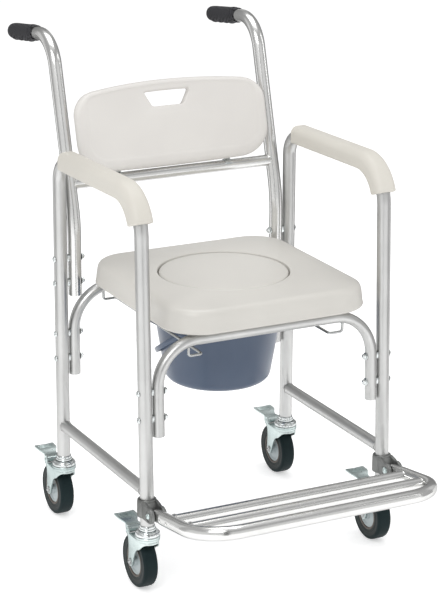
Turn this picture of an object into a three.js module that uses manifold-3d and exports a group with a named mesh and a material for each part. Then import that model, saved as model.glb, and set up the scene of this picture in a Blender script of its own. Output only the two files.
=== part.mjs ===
// A commode chair on four braked swivel casters: an aluminium tube frame with padded arms, push
// handles, a backrest, a seat with a lift-out lid, a bucket on wire rails and a fold-up footrest.
// Millimetres, +Z up, the front faces -Y. The origin is the centre of the footprint, on the floor.
import * as THREE from "three";
import { mergeVertices } from "three/addons/utils/BufferGeometryUtils.js";
import Module from "manifold-3d";

const wasm = await Module();
wasm.setup();

// ---- driving dimensions -------------------------------------------------------------------------
const GAP = 0.3; // clearance between touching pieces
const TUBE = 12.7; // radius of the main tube
const SLIM = 11; // radius of the slim tube
const BEND_STEP = THREE.MathUtils.degToRad(15); // turn between two sections of a bend

// Side frames: one tube each, from the rear leg over the arm to the front leg. Y is measured here
// from midway between the legs; the whole chair is centred on its footprint at the end.
const LEG_X = 246;
const FOOT_Z = 124;
const REAR_LEG_Y = 191;
const FRONT_FOOT_Y = -191.5;
const ARM_FRONT = { y: -169.8, z: 736 };
const ARM_REAR_Z = 725.3;
const ARM_BEND = { rear: 45, front: 70 };
const SIDE_RAIL_Z = 194;
const PAD = { halfWidth: 21, above: 22, rearY: 149, frontZ: 686 };

// Seat hoops: an inverted U bolted inside the front legs and one inside the rear legs.
const HOOP = { x: 220, foot: 296, top: 466.5, bend: 80, bolts: [331, 381] };

// Push handles, bolted inside the rear legs, leaning back above the arms.
const HANDLE = { x: 217, foot: 455, y: 191, kneeZ: 602, kneeBend: 220, topBend: 67, bolts: [482, 530] };
const HANDLE_TOP = { y: 285.6, z: 941.3 };
const LEAN = Math.atan2(HANDLE_TOP.y - HANDLE.y, HANDLE_TOP.z - HANDLE.kneeZ);
const GRIP = { droop: THREE.MathUtils.degToRad(7.4), start: 72, end: 200, radius: 16.5 };
const CROSSBAR_Z = 669;
const CLIP = { x: 117, wall: 2.3, width: 14 };

const BACKREST = { halfWidth: 203, height: 158, bottomZ: 688, thickness: 20, curve: 936, forward: 7 };
const SEAT = { left: -188, right: 215, front: -210, back: 210, bottom: 478, top: 524, corner: 76 };
const LID = { radius: 123, x: 5, y: 2, ledge: 500, opening: 105, top: 525 };
const BUCKET = { y: 16, floor: 312, rim: 440, floorRadius: 89, radius: 119, flange: 142, wall: 3 };
const BAIL = { pivotZ: 429, x: 122.6, reach: 134, halfWidth: 4.5, halfThickness: 2 };
const BAIL_TURN = { hang: THREE.MathUtils.degToRad(-34), around: THREE.MathUtils.degToRad(30) };
const WIRE = { radius: 2.5, x: 131, endX: 158, z: 437, top: 452 };

const FOOTREST = { pivotY: -228, pivotZ: 164, rise: THREE.MathUtils.degToRad(8.5), reach: 192, bend: 75 };
const FOOTREST_BARS = [55, 120];
const BRACKET = { bottom: 149, top: 182.5, ear: 15.1, earGap: 8.6, pivotRadius: 14 };

// Casters: heights above the floor, and distances behind the stem.
const WHEEL = { radius: 50, halfWidth: 14, trail: 32, rim: 30 };
const CASTER = { crown: 100.8, cup: 112, plateIn: 17.5, plateOut: 20.5, kingpin: 4.5 };
const PEDAL = { pivot: 45, z: 108, boss: 6, tip: 104, tipZ: 117.5, halfWidth: 20, inner: 17 };

// ---- materials ----------------------------------------------------------------------------------
const finish = (color, roughness, metalness) => ({ color, roughness, metalness });
const ALUMINIUM = finish(0xcfd0d0, 0.3, 1);
const CREAM = finish(0xd6d2ca, 0.55, 0);
const PAD_CREAM = finish(0xddd8cb, 0.6, 0);
const BACK_WHITE = finish(0xe2ded9, 0.5, 0);
const BLACK_GRIP = finish(0x26262a, 0.7, 0);
const BLUE_PLASTIC = finish(0x5c677a, 0.45, 0);
const WIRE_STEEL = finish(0xb8bcbc, 0.3, 1);
const CAST_GREY = finish(0x787876, 0.55, 0.3);
const ZINC = finish(0xaab9b9, 0.35, 1);
const TYRE_RUBBER = finish(0x374446, 0.8, 0);
const HUB_GREY = finish(0xb4bdbf, 0.5, 0);

// ---- geometry helpers ---------------------------------------------------------------------------
const at = (x, y, z) => new THREE.Vector3(x, y, z);
const SIDES = [
  ["left", -1],
  ["right", 1],
];

// A closed geometry as a solid that can be joined and cut.
function solidOf(geometry) {
  const plain = geometry.index ? geometry.toNonIndexed() : geometry.clone();
  plain.deleteAttribute("normal");
  plain.deleteAttribute("uv");
  const merged = mergeVertices(plain, 1e-3);
  const vertProperties = merged.attributes.position.array;
  const triVerts = new Uint32Array(merged.index.array);
  return new wasm.Manifold(new wasm.Mesh({ numProp: 3, vertProperties, triVerts }));
}

function geometryOf(solid) {
  const mesh = solid.getMesh();
  const geometry = new THREE.BufferGeometry();
  geometry.setAttribute("position", new THREE.BufferAttribute(mesh.vertProperties, 3));
  geometry.setIndex(new THREE.BufferAttribute(mesh.triVerts, 1));
  return geometry;
}

const join = (...pieces) => geometryOf(pieces.map(solidOf).reduce((a, b) => a.add(b)));
const overlap = (a, b) => geometryOf(solidOf(a).intersect(solidOf(b)));

function cut(base, ...tools) {
  return geometryOf(tools.map(solidOf).reduce((a, b) => a.subtract(b), solidOf(base)));
}

// A path of straight runs and round bends, with sections only where it turns.
class BentPath extends THREE.Curve {
  // corners: [point, bend radius] pairs; the first and last are the path's ends.
  constructor(corners) {
    super();
    this.stations = [];
    const points = corners.map(([point]) => point);
    const heading = (i) => points[i + 1].clone().sub(points[i]).normalize();
    this.stations.push({ point: points[0], tangent: heading(0) });
    for (let i = 1; i < points.length - 1; i++) this.bend(points[i], corners[i][1], heading(i - 1), heading(i));
    this.stations.push({ point: points.at(-1), tangent: heading(points.length - 2) });
  }

  bend(corner, radius, before, after) {
    const turn = before.angleTo(after);
    const inward = after.clone().addScaledVector(before, -Math.cos(turn)).normalize();
    const start = corner.clone().addScaledVector(before, -radius * Math.tan(turn / 2));
    const steps = Math.ceil(turn / BEND_STEP);
    for (let i = 0; i <= steps; i++) {
      const angle = (turn * i) / steps;
      const along = radius * Math.sin(angle);
      const across = radius * (1 - Math.cos(angle));
      const point = start.clone().addScaledVector(before, along).addScaledVector(inward, across);
      const tangent = before.clone().multiplyScalar(Math.cos(angle)).addScaledVector(inward, Math.sin(angle));
      this.stations.push({ point, tangent });
    }
  }

  get steps() {
    return this.stations.length - 1;
  }

  getPointAt(share) {
    return this.stations[Math.round(share * this.steps)].point.clone();
  }

  getTangentAt(share) {
    return this.stations[Math.round(share * this.steps)].tangent.clone();
  }
}

const circle = (radius) => new THREE.Shape().absarc(0, 0, radius, 0, 2 * Math.PI);

function sweep(section, path, curveSegments) {
  return new THREE.ExtrudeGeometry(section, {
    steps: path.steps,
    extrudePath: path,
    curveSegments,
    bevelEnabled: false,
  });
}

const tube = (corners, radius, sides = 12) => sweep(circle(radius), new BentPath(corners), sides / 2);

function rod(axis, radius, length, centre, sides = 12) {
  const geometry = new THREE.CylinderGeometry(radius, radius, length, sides);
  if (axis === "x") geometry.rotateZ(Math.PI / 2);
  if (axis === "z") geometry.rotateX(Math.PI / 2);
  return geometry.translate(centre.x, centre.y, centre.z);
}

function box(low, high) {
  const size = high.clone().sub(low);
  const centre = low.clone().add(high).multiplyScalar(0.5);
  return new THREE.BoxGeometry(size.x, size.y, size.z).translate(centre.x, centre.y, centre.z);
}

// An outline drawn in (Y, Z), as a plate from x = from to x = to.
function plateAcrossX(outline, from, to, curveSegments = 4) {
  const plate = new THREE.ExtrudeGeometry(outline, { depth: to - from, bevelEnabled: false, curveSegments });
  const turn = new THREE.Matrix4().set(0, 0, 1, from, 1, 0, 0, 0, 0, 1, 0, 0, 0, 0, 0, 1);
  return plate.applyMatrix4(turn);
}

function prism(outline, bottom, top, curveSegments = 6) {
  const body = new THREE.ExtrudeGeometry(outline, { depth: top - bottom, bevelEnabled: false, curveSegments });
  return body.translate(0, 0, bottom);
}

// A profile of [radius, height] points turned about +Z. The points run anticlockwise.
function turned(points, sides = 24, firstAngle = 0) {
  const profile = points.map(([radius, height]) => new THREE.Vector2(radius, height));
  return new THREE.LatheGeometry(profile, sides, firstAngle).rotateX(Math.PI / 2);
}

function roundedRectangle(left, right, low, high, radius) {
  const shape = new THREE.Shape();
  shape.absarc(right - radius, high - radius, radius, 0, Math.PI / 2);
  shape.absarc(left + radius, high - radius, radius, Math.PI / 2, Math.PI);
  shape.absarc(left + radius, low + radius, radius, Math.PI, 1.5 * Math.PI);
  shape.absarc(right - radius, low + radius, radius, 1.5 * Math.PI, 2 * Math.PI);
  return shape;
}

const chair = new THREE.Group();

function add(name, geometry, look) {
  const mesh = new THREE.Mesh(geometry, new THREE.MeshStandardMaterial(look));
  mesh.name = name;
  chair.add(mesh);
}

// ---- side frames, side rails and arm pads -------------------------------------------------------
const frontLegSlope = (ARM_FRONT.y - FRONT_FOOT_Y) / (ARM_FRONT.z - FOOT_Z);
const frontLegY = (z) => FRONT_FOOT_Y + (z - FOOT_Z) * frontLegSlope;
const BOLT_RADIUS = 3;
const BOLT_HOLE = 3.4;
const SOCKET = { radius: 6, depth: 50 };

function sideFramePath(x) {
  return [
    [at(x, REAR_LEG_Y, FOOT_Z - 1)],
    [at(x, REAR_LEG_Y, ARM_REAR_Z), ARM_BEND.rear],
    [at(x, ARM_FRONT.y, ARM_FRONT.z), ARM_BEND.front],
    [at(x, frontLegY(FOOT_Z - 1), FOOT_Z - 1)],
  ];
}

const boltHole = (x, y, z) => rod("x", BOLT_HOLE, 4 * TUBE, at(x, y, z), 8);

function sideFrame(x) {
  const socket = (y) => rod("z", SOCKET.radius, 2 * SOCKET.depth, at(x, y, FOOT_Z));
  const belowFeet = box(at(x - 20, -250, FOOT_Z - 10), at(x + 20, 250, FOOT_Z));
  return cut(
    tube(sideFramePath(x), TUBE),
    belowFeet,
    socket(REAR_LEG_Y),
    socket(FRONT_FOOT_Y),
    ...HOOP.bolts.map((z) => boltHole(x, frontLegY(z), z)),
    ...HOOP.bolts.map((z) => boltHole(x, REAR_LEG_Y, z)),
    ...HANDLE.bolts.map((z) => boltHole(x, REAR_LEG_Y, z)),
  );
}

// The rail's ends are coped round the two legs.
function sideRail(x) {
  const run = REAR_LEG_Y - frontLegY(SIDE_RAIL_Z);
  const middle = (REAR_LEG_Y + frontLegY(SIDE_RAIL_Z)) / 2;
  return cut(rod("y", SLIM, run - TUBE, at(x, middle, SIDE_RAIL_Z)), tube(sideFramePath(x), TUBE + GAP));
}

// The pad is a moulded channel that wraps the arm tube from above and follows its front bend. In its
// section +Y points to the inside of the bend.
function armPad(x) {
  const rise = (ARM_FRONT.z - ARM_REAR_Z) / (REAR_LEG_Y - ARM_FRONT.y);
  const path = new BentPath([
    [at(x, PAD.rearY, ARM_REAR_Z + (REAR_LEG_Y - PAD.rearY) * rise)],
    [at(x, ARM_FRONT.y, ARM_FRONT.z), ARM_BEND.front],
    [at(x, FRONT_FOOT_Y, FOOT_Z)],
  ]);
  path.stations = path.stations.filter(({ point }) => point.z > PAD.frontZ);
  const radial = (centreX, centreY, radius, degrees) => {
    const angle = THREE.MathUtils.degToRad(degrees);
    return new THREE.Vector2(centreX + radius * Math.cos(angle), centreY + radius * Math.sin(angle));
  };
  const { halfWidth, above } = PAD;
  const crown = 14;
  const points = [];
  for (let turn = 60; turn >= -240; turn -= 30) points.push(radial(0, 0, TUBE + GAP, turn));
  const mouthY = points[0].y;
  points.push(new THREE.Vector2(3 - halfWidth, mouthY), new THREE.Vector2(-halfWidth, mouthY - 4));
  for (let turn = 180; turn <= 270; turn += 30) points.push(radial(crown - halfWidth, crown - above, crown, turn));
  for (let turn = 270; turn <= 360; turn += 30) points.push(radial(halfWidth - crown, crown - above, crown, turn));
  points.push(new THREE.Vector2(halfWidth, mouthY - 4), new THREE.Vector2(halfWidth - 3, mouthY));
  const section = new THREE.Shape(points);
  return sweep(section, path, 1);
}

for (const [side, sign] of SIDES) {
  add(`side_frame_${side}`, sideFrame(sign * LEG_X), ALUMINIUM);
  add(`side_rail_${side}`, sideRail(sign * LEG_X), ALUMINIUM);
  add(`arm_pad_${side}`, armPad(sign * LEG_X), PAD_CREAM);
}

// ---- seat hoops ---------------------------------------------------------------------------------
function seatHoop(yAt) {
  const corner = (sign) => at(sign * HOOP.x, yAt(HOOP.top), HOOP.top);
  const foot = (sign) => at(sign * HOOP.x, yAt(HOOP.foot), HOOP.foot);
  const hoop = tube([[foot(-1)], [corner(-1), HOOP.bend], [corner(1), HOOP.bend], [foot(1)]], SLIM);
  const holes = HOOP.bolts.flatMap((z) => SIDES.map(([, sign]) => boltHole(sign * HOOP.x, yAt(z), z)));
  return cut(hoop, ...holes);
}

add("seat_hoop_front", seatHoop(frontLegY), ALUMINIUM);
add("seat_hoop_rear", seatHoop(() => REAR_LEG_Y), ALUMINIUM);

// ---- push handles, grips and the bar between them -----------------------------------------------
const gripPoint = (along) => ({
  y: HANDLE_TOP.y + along * Math.cos(GRIP.droop),
  z: HANDLE_TOP.z - along * Math.sin(GRIP.droop),
});
const leanY = (z) => HANDLE.y + (z - HANDLE.kneeZ) * Math.tan(LEAN);

function handlePath(x) {
  const end = gripPoint(GRIP.end - 6);
  return [
    [at(x, HANDLE.y, HANDLE.foot)],
    [at(x, HANDLE.y, HANDLE.kneeZ), HANDLE.kneeBend],
    [at(x, HANDLE_TOP.y, HANDLE_TOP.z), HANDLE.topBend],
    [at(x, end.y, end.z)],
  ];
}

const pushHandle = (x) =>
  cut(tube(handlePath(x), TUBE), ...HANDLE.bolts.map((z) => boltHole(x, HANDLE.y, z)));

// A closed sleeve over the tube's end, with a collar and a palm swell.
function grip(x) {
  const inner = TUBE + GAP;
  const sleeve = turned(
    [
      [0, GRIP.end - 5],
      [inner, GRIP.end - 5],
      [inner, GRIP.start],
      [inner + 2.5, GRIP.start],
      [inner + 2.5, GRIP.start + 5],
      [GRIP.radius, GRIP.start + 16],
      [GRIP.radius, GRIP.end - 8],
      [GRIP.radius - 4, GRIP.end - 1.5],
      [0, GRIP.end],
    ],
    16,
  );
  return sleeve.rotateX(-Math.PI / 2 - GRIP.droop).translate(x, HANDLE_TOP.y, HANDLE_TOP.z);
}

const crossbar = rod("x", SLIM, 2 * HANDLE.x, at(0, leanY(CROSSBAR_Z), CROSSBAR_Z));
const handleClearance = SIDES.map(([, sign]) => tube(handlePath(sign * HANDLE.x), TUBE + GAP));

for (const [side, sign] of SIDES) {
  add(`push_handle_${side}`, pushHandle(sign * HANDLE.x), ALUMINIUM);
  add(`grip_${side}`, grip(sign * HANDLE.x), BLACK_GRIP);
}
add("back_crossbar", cut(crossbar, ...handleClearance), ALUMINIUM);

// ---- backrest -----------------------------------------------------------------------------------
// The outline bows up along its top edge and down along its bottom edge.
function backrestOutline() {
  const { halfWidth, height } = BACKREST;
  const outline = roundedRectangle(-halfWidth, halfWidth, 0, height, 44);
  const corners = outline.getPoints(3);
  const points = corners.flatMap((from, i) => {
    const to = corners[(i + 1) % corners.length];
    const steps = Math.max(1, Math.round(from.distanceTo(to) / 65));
    return Array.from({ length: steps }, (_, k) => from.clone().lerp(to, k / steps));
  });
  for (const point of points) {
    const share = point.y / height;
    const topBow = 1 - 9 * (point.x / 165) ** 2;
    const bottomBow = -10.4 + 6.5 * (point.x / 175) ** 2;
    point.y += share * topBow + (1 - share) * bottomBow;
  }
  return new THREE.Shape(points.filter((point, i) => i === 0 || point.distanceTo(points[i - 1]) > 1));
}

// The panel is drawn upright and then leans with the handles: a shallow curved band, trimmed to its
// outline, with a hand slot near its top and a rebate in its back over the crossbar.
function backrest() {
  const { halfWidth, height, thickness, curve, forward, bottomZ } = BACKREST;
  const spread = Math.asin((halfWidth + 10) / curve);
  const band = new THREE.Shape();
  band.absarc(0, -curve, curve + thickness / 2, Math.PI / 2 - spread, Math.PI / 2 + spread, false);
  band.absarc(0, -curve, curve - thickness / 2, Math.PI / 2 + spread, Math.PI / 2 - spread, true);
  const depth = 60;
  const facing = (shape) => prism(shape, -depth, depth).rotateX(Math.PI / 2);
  const slot = new THREE.Shape();
  slot.moveTo(-32, height - 48);
  slot.lineTo(32, height - 48);
  slot.lineTo(48, height - 21);
  slot.lineTo(-48, height - 21);
  const panel = cut(overlap(prism(band, -20, height + 10), facing(backrestOutline())), facing(slot));
  panel.rotateX(-LEAN).translate(0, leanY(bottomZ) - forward, bottomZ);
  const barAt = (x) => at(x, leanY(CROSSBAR_Z), CROSSBAR_Z);
  const ringRoom = SIDES.map(([, sign]) =>
    rod("x", SLIM + CLIP.wall + 2 * GAP, CLIP.width + 4 * GAP, barAt(sign * CLIP.x)),
  );
  return cut(panel, rod("x", SLIM + 2 * GAP, 2 * HANDLE.x, barAt(0)), ...ringRoom);
}

// A spring clip round the crossbar, with a tab behind the panel's lower edge.
function backrestClip(x) {
  const centre = at(x, leanY(CROSSBAR_Z), CROSSBAR_Z);
  const ring = cut(rod("x", SLIM + CLIP.wall, CLIP.width, centre), rod("x", SLIM + GAP, 20, centre));
  const tab = box(at(-6, -3.2, SLIM), at(6, -0.7, 34)).rotateX(-LEAN);
  return join(ring, tab.translate(centre.x, centre.y, centre.z));
}

add("backrest_panel", backrest(), BACK_WHITE);
for (const [side, sign] of SIDES) add(`backrest_clip_${side}`, backrestClip(sign * CLIP.x), CAST_GREY);

// ---- seat and lid -------------------------------------------------------------------------------
function seatCushion() {
  const soft = 9;
  const outline = roundedRectangle(SEAT.left, SEAT.right, SEAT.front, SEAT.back, SEAT.corner);
  const pad = new THREE.ExtrudeGeometry(outline, {
    depth: SEAT.top - SEAT.bottom - 2 * soft,
    bevelThickness: soft,
    bevelSize: soft,
    bevelOffset: -soft,
    bevelSegments: 2,
    curveSegments: 5,
  }).translate(0, 0, SEAT.bottom + soft);
  const recess = rod("z", LID.radius + 1.2, 100, at(LID.x, LID.y, LID.ledge + 50), 32);
  const opening = rod("z", LID.opening, 100, at(LID.x, LID.y, SEAT.bottom), 32);
  return cut(pad, recess, opening);
}

function seatLid() {
  const low = LID.ledge + GAP;
  const profile = [
    [0, low],
    [LID.radius, low],
    [LID.radius, LID.top - 5],
    [LID.radius - 6, LID.top],
    [0, LID.top],
  ];
  return turned(profile, 32).translate(LID.x, LID.y, 0);
}

add("seat_cushion", seatCushion(), CREAM);
add("seat_lid", seatLid(), CREAM);

// ---- bucket, its bail handle and its wire rails -------------------------------------------------
function bucket() {
  const { floor, rim, floorRadius, radius, flange, wall } = BUCKET;
  const shell = turned([
    [0, floor],
    [floorRadius, floor],
    [floorRadius + 12, floor + 12],
    [radius, rim],
    [flange, rim],
    [flange, rim + wall],
    [radius - wall, rim + wall],
    [floorRadius + 9, floor + 13.5],
    [floorRadius - 1.5, floor + wall],
    [0, floor + wall],
  ]);
  const pins = SIDES.map(([, sign]) => rod("x", 3, 11, at(sign * 120.3, 0, BAIL.pivotZ), 8));
  return join(shell, ...pins).rotateZ(BAIL_TURN.around).translate(0, BUCKET.y, 0);
}

// A flat strap bent into a loop round the back of the bucket, hinged on the two side pins.
function bail() {
  const { halfWidth, halfThickness } = BAIL;
  const strap = new THREE.Shape();
  strap.moveTo(-halfWidth, -halfThickness);
  strap.lineTo(halfWidth, -halfThickness);
  strap.lineTo(halfWidth, halfThickness);
  strap.lineTo(-halfWidth, halfThickness);
  const straight = BAIL.reach - BAIL.x;
  const loop = new BentPath([
    [at(-BAIL.x, 0, 0)],
    [at(-BAIL.x, straight + BAIL.x, 0), BAIL.x - 0.1],
    [at(BAIL.x, straight + BAIL.x, 0), BAIL.x - 0.1],
    [at(BAIL.x, 0, 0)],
  ]);
  const eyes = SIDES.map(([, sign]) => rod("x", 6, 2 * halfThickness, at(sign * BAIL.x, 0, 0)));
  const holes = SIDES.map(([, sign]) => rod("x", 3 + GAP, 30, at(sign * BAIL.x, 0, 0), 8));
  const handle = cut(join(sweep(strap, loop, 1), ...eyes), ...holes);
  return handle.rotateX(BAIL_TURN.hang).rotateZ(BAIL_TURN.around).translate(0, BUCKET.y, BAIL.pivotZ);
}

function wireRail(sign) {
  const front = frontLegY(WIRE.z);
  const point = (x, y, z) => at(sign * x, y, z);
  const corners = [
    [point(WIRE.endX, front, WIRE.top)],
    [point(WIRE.endX, front, WIRE.z), 5],
    [point(WIRE.x, front, WIRE.z), 6],
    [point(WIRE.x, REAR_LEG_Y, WIRE.z), 6],
    [point(WIRE.endX, REAR_LEG_Y, WIRE.z), 5],
    [point(WIRE.endX, REAR_LEG_Y, WIRE.top)],
  ];
  return tube(corners, WIRE.radius, 8);
}

add("bucket", bucket(), BLUE_PLASTIC);
add("bucket_bail", bail(), BLUE_PLASTIC);
for (const [side, sign] of SIDES) add(`bucket_rail_${side}`, wireRail(sign), WIRE_STEEL);

// ---- footrest -----------------------------------------------------------------------------------
// Drawn level with its pivots on the X axis and reaching to -Y, then raised to its slope.
const footrestPath = [
  [at(-LEG_X, -28, 0)],
  [at(-LEG_X, -FOOTREST.reach, 0), FOOTREST.bend],
  [at(LEG_X, -FOOTREST.reach, 0), FOOTREST.bend],
  [at(LEG_X, -28, 0)],
];
const PIVOT_BOLT = 4;

const placeFootrest = (geometry) =>
  geometry.rotateX(-FOOTREST.rise).translate(0, FOOTREST.pivotY, FOOTREST.pivotZ);

// The flattened end of each arm, which turns between the bracket's ears.
function armEye(x) {
  const outline = new THREE.Shape();
  outline.absarc(0, 0, 11, -Math.PI / 2, Math.PI / 2, false);
  outline.lineTo(-34, 11);
  outline.lineTo(-34, -11);
  const width = BRACKET.earGap - GAP;
  return cut(plateAcrossX(outline, x - width, x + width), rod("x", PIVOT_BOLT + 1.5 * GAP, 40, at(x, 0, 0), 8));
}

const footrestFrame = placeFootrest(join(tube(footrestPath, TUBE), ...SIDES.map(([, s]) => armEye(s * LEG_X))));

const footrestBar = (distance) =>
  placeFootrest(cut(rod("x", SLIM, 2 * LEG_X, at(0, -distance, 0)), tube(footrestPath, TUBE + GAP)));

// A collar clamped round the foot of the front leg, with two ears for the footrest's arm.
function footrestBracket(x) {
  const { bottom, top, ear, earGap, pivotRadius } = BRACKET;
  const middle = (bottom + top) / 2;
  const legY = frontLegY(middle);
  const collar = rod("z", TUBE + 6, top - bottom, at(x, legY, middle), 16);
  const outline = new THREE.Shape();
  outline.moveTo(legY, bottom);
  outline.lineTo(legY, top);
  outline.absarc(FOOTREST.pivotY, FOOTREST.pivotZ, pivotRadius, Math.PI / 2, 1.5 * Math.PI, false);
  const ears = SIDES.map(([, sign]) => {
    const [from, to] = [x + sign * earGap, x + sign * ear].sort((a, b) => a - b);
    return plateAcrossX(outline, from, to);
  });
  const pivot = rod("x", PIVOT_BOLT + GAP, 60, at(x, FOOTREST.pivotY, FOOTREST.pivotZ), 8);
  return cut(join(collar, ...ears), tube(sideFramePath(x), TUBE + GAP), pivot);
}

function pivotBolt(x) {
  const centre = (offset) => at(x + offset, FOOTREST.pivotY, FOOTREST.pivotZ);
  const headAt = BRACKET.ear + GAP + 2;
  return join(
    rod("x", PIVOT_BOLT, 2 * headAt, centre(0), 8),
    rod("x", 7, 4, centre(headAt), 6),
    rod("x", 7, 4, centre(-headAt), 6),
  );
}

add("footrest_frame", footrestFrame, ALUMINIUM);
FOOTREST_BARS.forEach((distance, i) => add(`footrest_bar_${i + 1}`, footrestBar(distance), ALUMINIUM));
for (const [side, sign] of SIDES) {
  add(`footrest_bracket_${side}`, footrestBracket(sign * LEG_X), CAST_GREY);
  add(`footrest_pivot_bolt_${side}`, pivotBolt(sign * LEG_X), ZINC);
}

// ---- bolt pairs: two bolts through the leg and the inner tube, on one saddle strip ---------------
function boltPair(sign, innerX, innerRadius, yAt, heights) {
  const legFace = LEG_X - TUBE;
  const tubeFace = innerX + innerRadius;
  const head = LEG_X + TUBE + GAP;
  const nut = innerX - innerRadius - GAP;
  const [low, high] = heights;
  const pieces = heights.flatMap((z) => [
    rod("x", BOLT_RADIUS, head - nut, at(sign * (head + nut) * 0.5, yAt(z), z), 8),
    rod("x", 6, 3, at(sign * (head + 1.5), yAt(z), z), 8),
    rod("x", 5.5, 8, at(sign * (nut - 4), yAt(z), z), 6),
  ]);
  const ends = [sign * (tubeFace + GAP), sign * (legFace - GAP)].sort((a, b) => a - b);
  const width = 4;
  const middle = yAt((low + high) / 2);
  const strip = box(at(ends[0], middle - width, low - 10), at(ends[1], middle + width, high + 10));
  return join(...pieces, strip);
}

for (const [side, sign] of SIDES) {
  const rearY = () => REAR_LEG_Y;
  add(`hoop_bolts_front_${side}`, boltPair(sign, HOOP.x, SLIM, frontLegY, HOOP.bolts), ZINC);
  add(`hoop_bolts_rear_${side}`, boltPair(sign, HOOP.x, SLIM, rearY, HOOP.bolts), ZINC);
  add(`handle_bolts_${side}`, boltPair(sign, HANDLE.x, TUBE, rearY, HANDLE.bolts), ZINC);
}

// ---- casters ------------------------------------------------------------------------------------
// Each is drawn with its stem on the Z axis and its wheel trailing to +Y.
function casterStem() {
  const { crown, cup, kingpin } = CASTER;
  return turned(
    [
      [0, crown - 3.3],
      [8, crown - 3.3],
      [8, crown - GAP],
      [kingpin, crown - GAP],
      [kingpin, cup + GAP],
      [21, cup + GAP],
      [21, cup + 5],
      [14, cup + 8],
      [14, FOOT_Z - GAP],
      [SOCKET.radius - GAP, FOOT_Z - GAP],
      [SOCKET.radius - GAP, FOOT_Z + SOCKET.depth - 2],
      [0, FOOT_Z + SOCKET.depth - 2],
    ],
    12,
  );
}

function casterFork() {
  const { crown, cup, plateIn, plateOut, kingpin } = CASTER;
  const crownTop = crown + 3.5;
  const tip = 8;
  const cheek = new THREE.Shape();
  cheek.moveTo(-24, crownTop);
  cheek.lineTo(-24, 88);
  cheek.quadraticCurveTo(16, 84, WHEEL.trail - tip, WHEEL.radius);
  cheek.absarc(WHEEL.trail, WHEEL.radius, tip, Math.PI, 2 * Math.PI, false);
  cheek.lineTo(39, 90);
  cheek.lineTo(PEDAL.pivot + 6, 100);
  cheek.lineTo(PEDAL.pivot + 6, PEDAL.z + 4);
  cheek.lineTo(PEDAL.pivot, PEDAL.z + 7);
  cheek.lineTo(36, crownTop);
  const cheeks = [plateAcrossX(cheek, -plateOut, -plateIn, 3), plateAcrossX(cheek, plateIn, plateOut, 3)];
  const plate = box(at(-plateOut, -24, crown), at(plateOut, 34, crownTop));
  const skirt = box(at(-plateOut, -24, 88), at(plateOut, -21, crownTop));
  const race = rod("z", 23, cup - crown, at(0, 0, (cup + crown) / 2), 16);
  const pin = rod("x", 3, 2 * plateOut + 2, at(0, PEDAL.pivot, PEDAL.z), 8);
  return cut(
    join(plate, skirt, race, pin, ...cheeks),
    rod("z", kingpin + GAP, 60, at(0, 0, crown), 12),
    rod("x", 4 + GAP, 60, at(0, WHEEL.trail, WHEEL.radius), 8),
  );
}

// A boss on the pin, a curved arm, a wide tread, and a shoe that comes down on the tyre.
function casterPedal() {
  const { pivot, z, boss, tip, tipZ, halfWidth, inner } = PEDAL;
  const tread = new THREE.Shape();
  tread.moveTo(pivot + 10, z - 2);
  tread.lineTo(tip, tipZ - 3);
  tread.lineTo(tip, tipZ);
  tread.lineTo(pivot + 10, z + 3);
  const shoe = new THREE.Shape();
  shoe.moveTo(pivot + 14, 97.5);
  shoe.lineTo(pivot + 20, 98);
  shoe.lineTo(pivot + 22, z + 1);
  shoe.lineTo(pivot, z + 4);
  shoe.lineTo(pivot, z - 4);
  shoe.lineTo(pivot + 12, z - 3);
  return cut(
    join(
      rod("x", boss, 2 * inner, at(0, pivot, z), 12),
      plateAcrossX(shoe, -inner, inner),
      plateAcrossX(tread, -halfWidth, halfWidth),
    ),
    rod("x", 3 + GAP, 60, at(0, pivot, z), 8),
  );
}

// The tyre has flats at its full radius, and one of them lies on the floor.
function casterTyre() {
  const sides = 24;
  const half = Math.PI / sides;
  const outer = WHEEL.radius / Math.cos(half);
  const inner = WHEEL.rim + GAP;
  const { halfWidth } = WHEEL;
  const ring = turned(
    [
      [inner, -halfWidth + 2],
      [outer - 5, -halfWidth],
      [outer, -halfWidth + 5],
      [outer, halfWidth - 5],
      [outer - 5, halfWidth],
      [inner, halfWidth - 2],
      [inner, -halfWidth + 2],
    ],
    sides,
    half,
  );
  return ring.rotateY(Math.PI / 2).translate(0, WHEEL.trail, WHEEL.radius);
}

function casterHub() {
  const bore = 4 + GAP;
  const { rim } = WHEEL;
  const wheel = turned(
    [
      [bore, -16],
      [9, -16],
      [10, -7],
      [rim - 5, -6],
      [rim - 4, -11],
      [rim, -11],
      [rim, 11],
      [rim - 4, 11],
      [rim - 5, 6],
      [10, 7],
      [9, 16],
      [bore, 16],
      [bore, -16],
    ],
    16,
  );
  return wheel.rotateY(Math.PI / 2).translate(0, WHEEL.trail, WHEEL.radius);
}

function casterAxle() {
  const centre = (x) => at(x, WHEEL.trail, WHEEL.radius);
  const head = CASTER.plateOut + GAP + 2;
  return join(rod("x", 4, 2 * head, centre(0), 8), rod("x", 6.5, 4, centre(head), 6), rod("x", 6.5, 4, centre(-head), 6));
}

const casterPieces = [
  ["stem", casterStem, ZINC],
  ["fork", casterFork, ZINC],
  ["pedal", casterPedal, ZINC],
  ["tyre", casterTyre, TYRE_RUBBER],
  ["hub", casterHub, HUB_GREY],
  ["axle", casterAxle, ZINC],
];

for (const [end, y] of [["front", FRONT_FOOT_Y], ["rear", REAR_LEG_Y]]) {
  for (const [side, sign] of SIDES) {
    for (const [piece, make, look] of casterPieces) {
      add(`caster_${end}_${side}_${piece}`, make().translate(sign * LEG_X, y, 0), look);
    }
  }
}

// ---- centre the chair on its footprint ----------------------------------------------------------
const footprint = new THREE.Box3().setFromObject(chair);
chair.position.set(0, -(footprint.min.y + footprint.max.y) / 2, -footprint.min.z);

export default chair;
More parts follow.
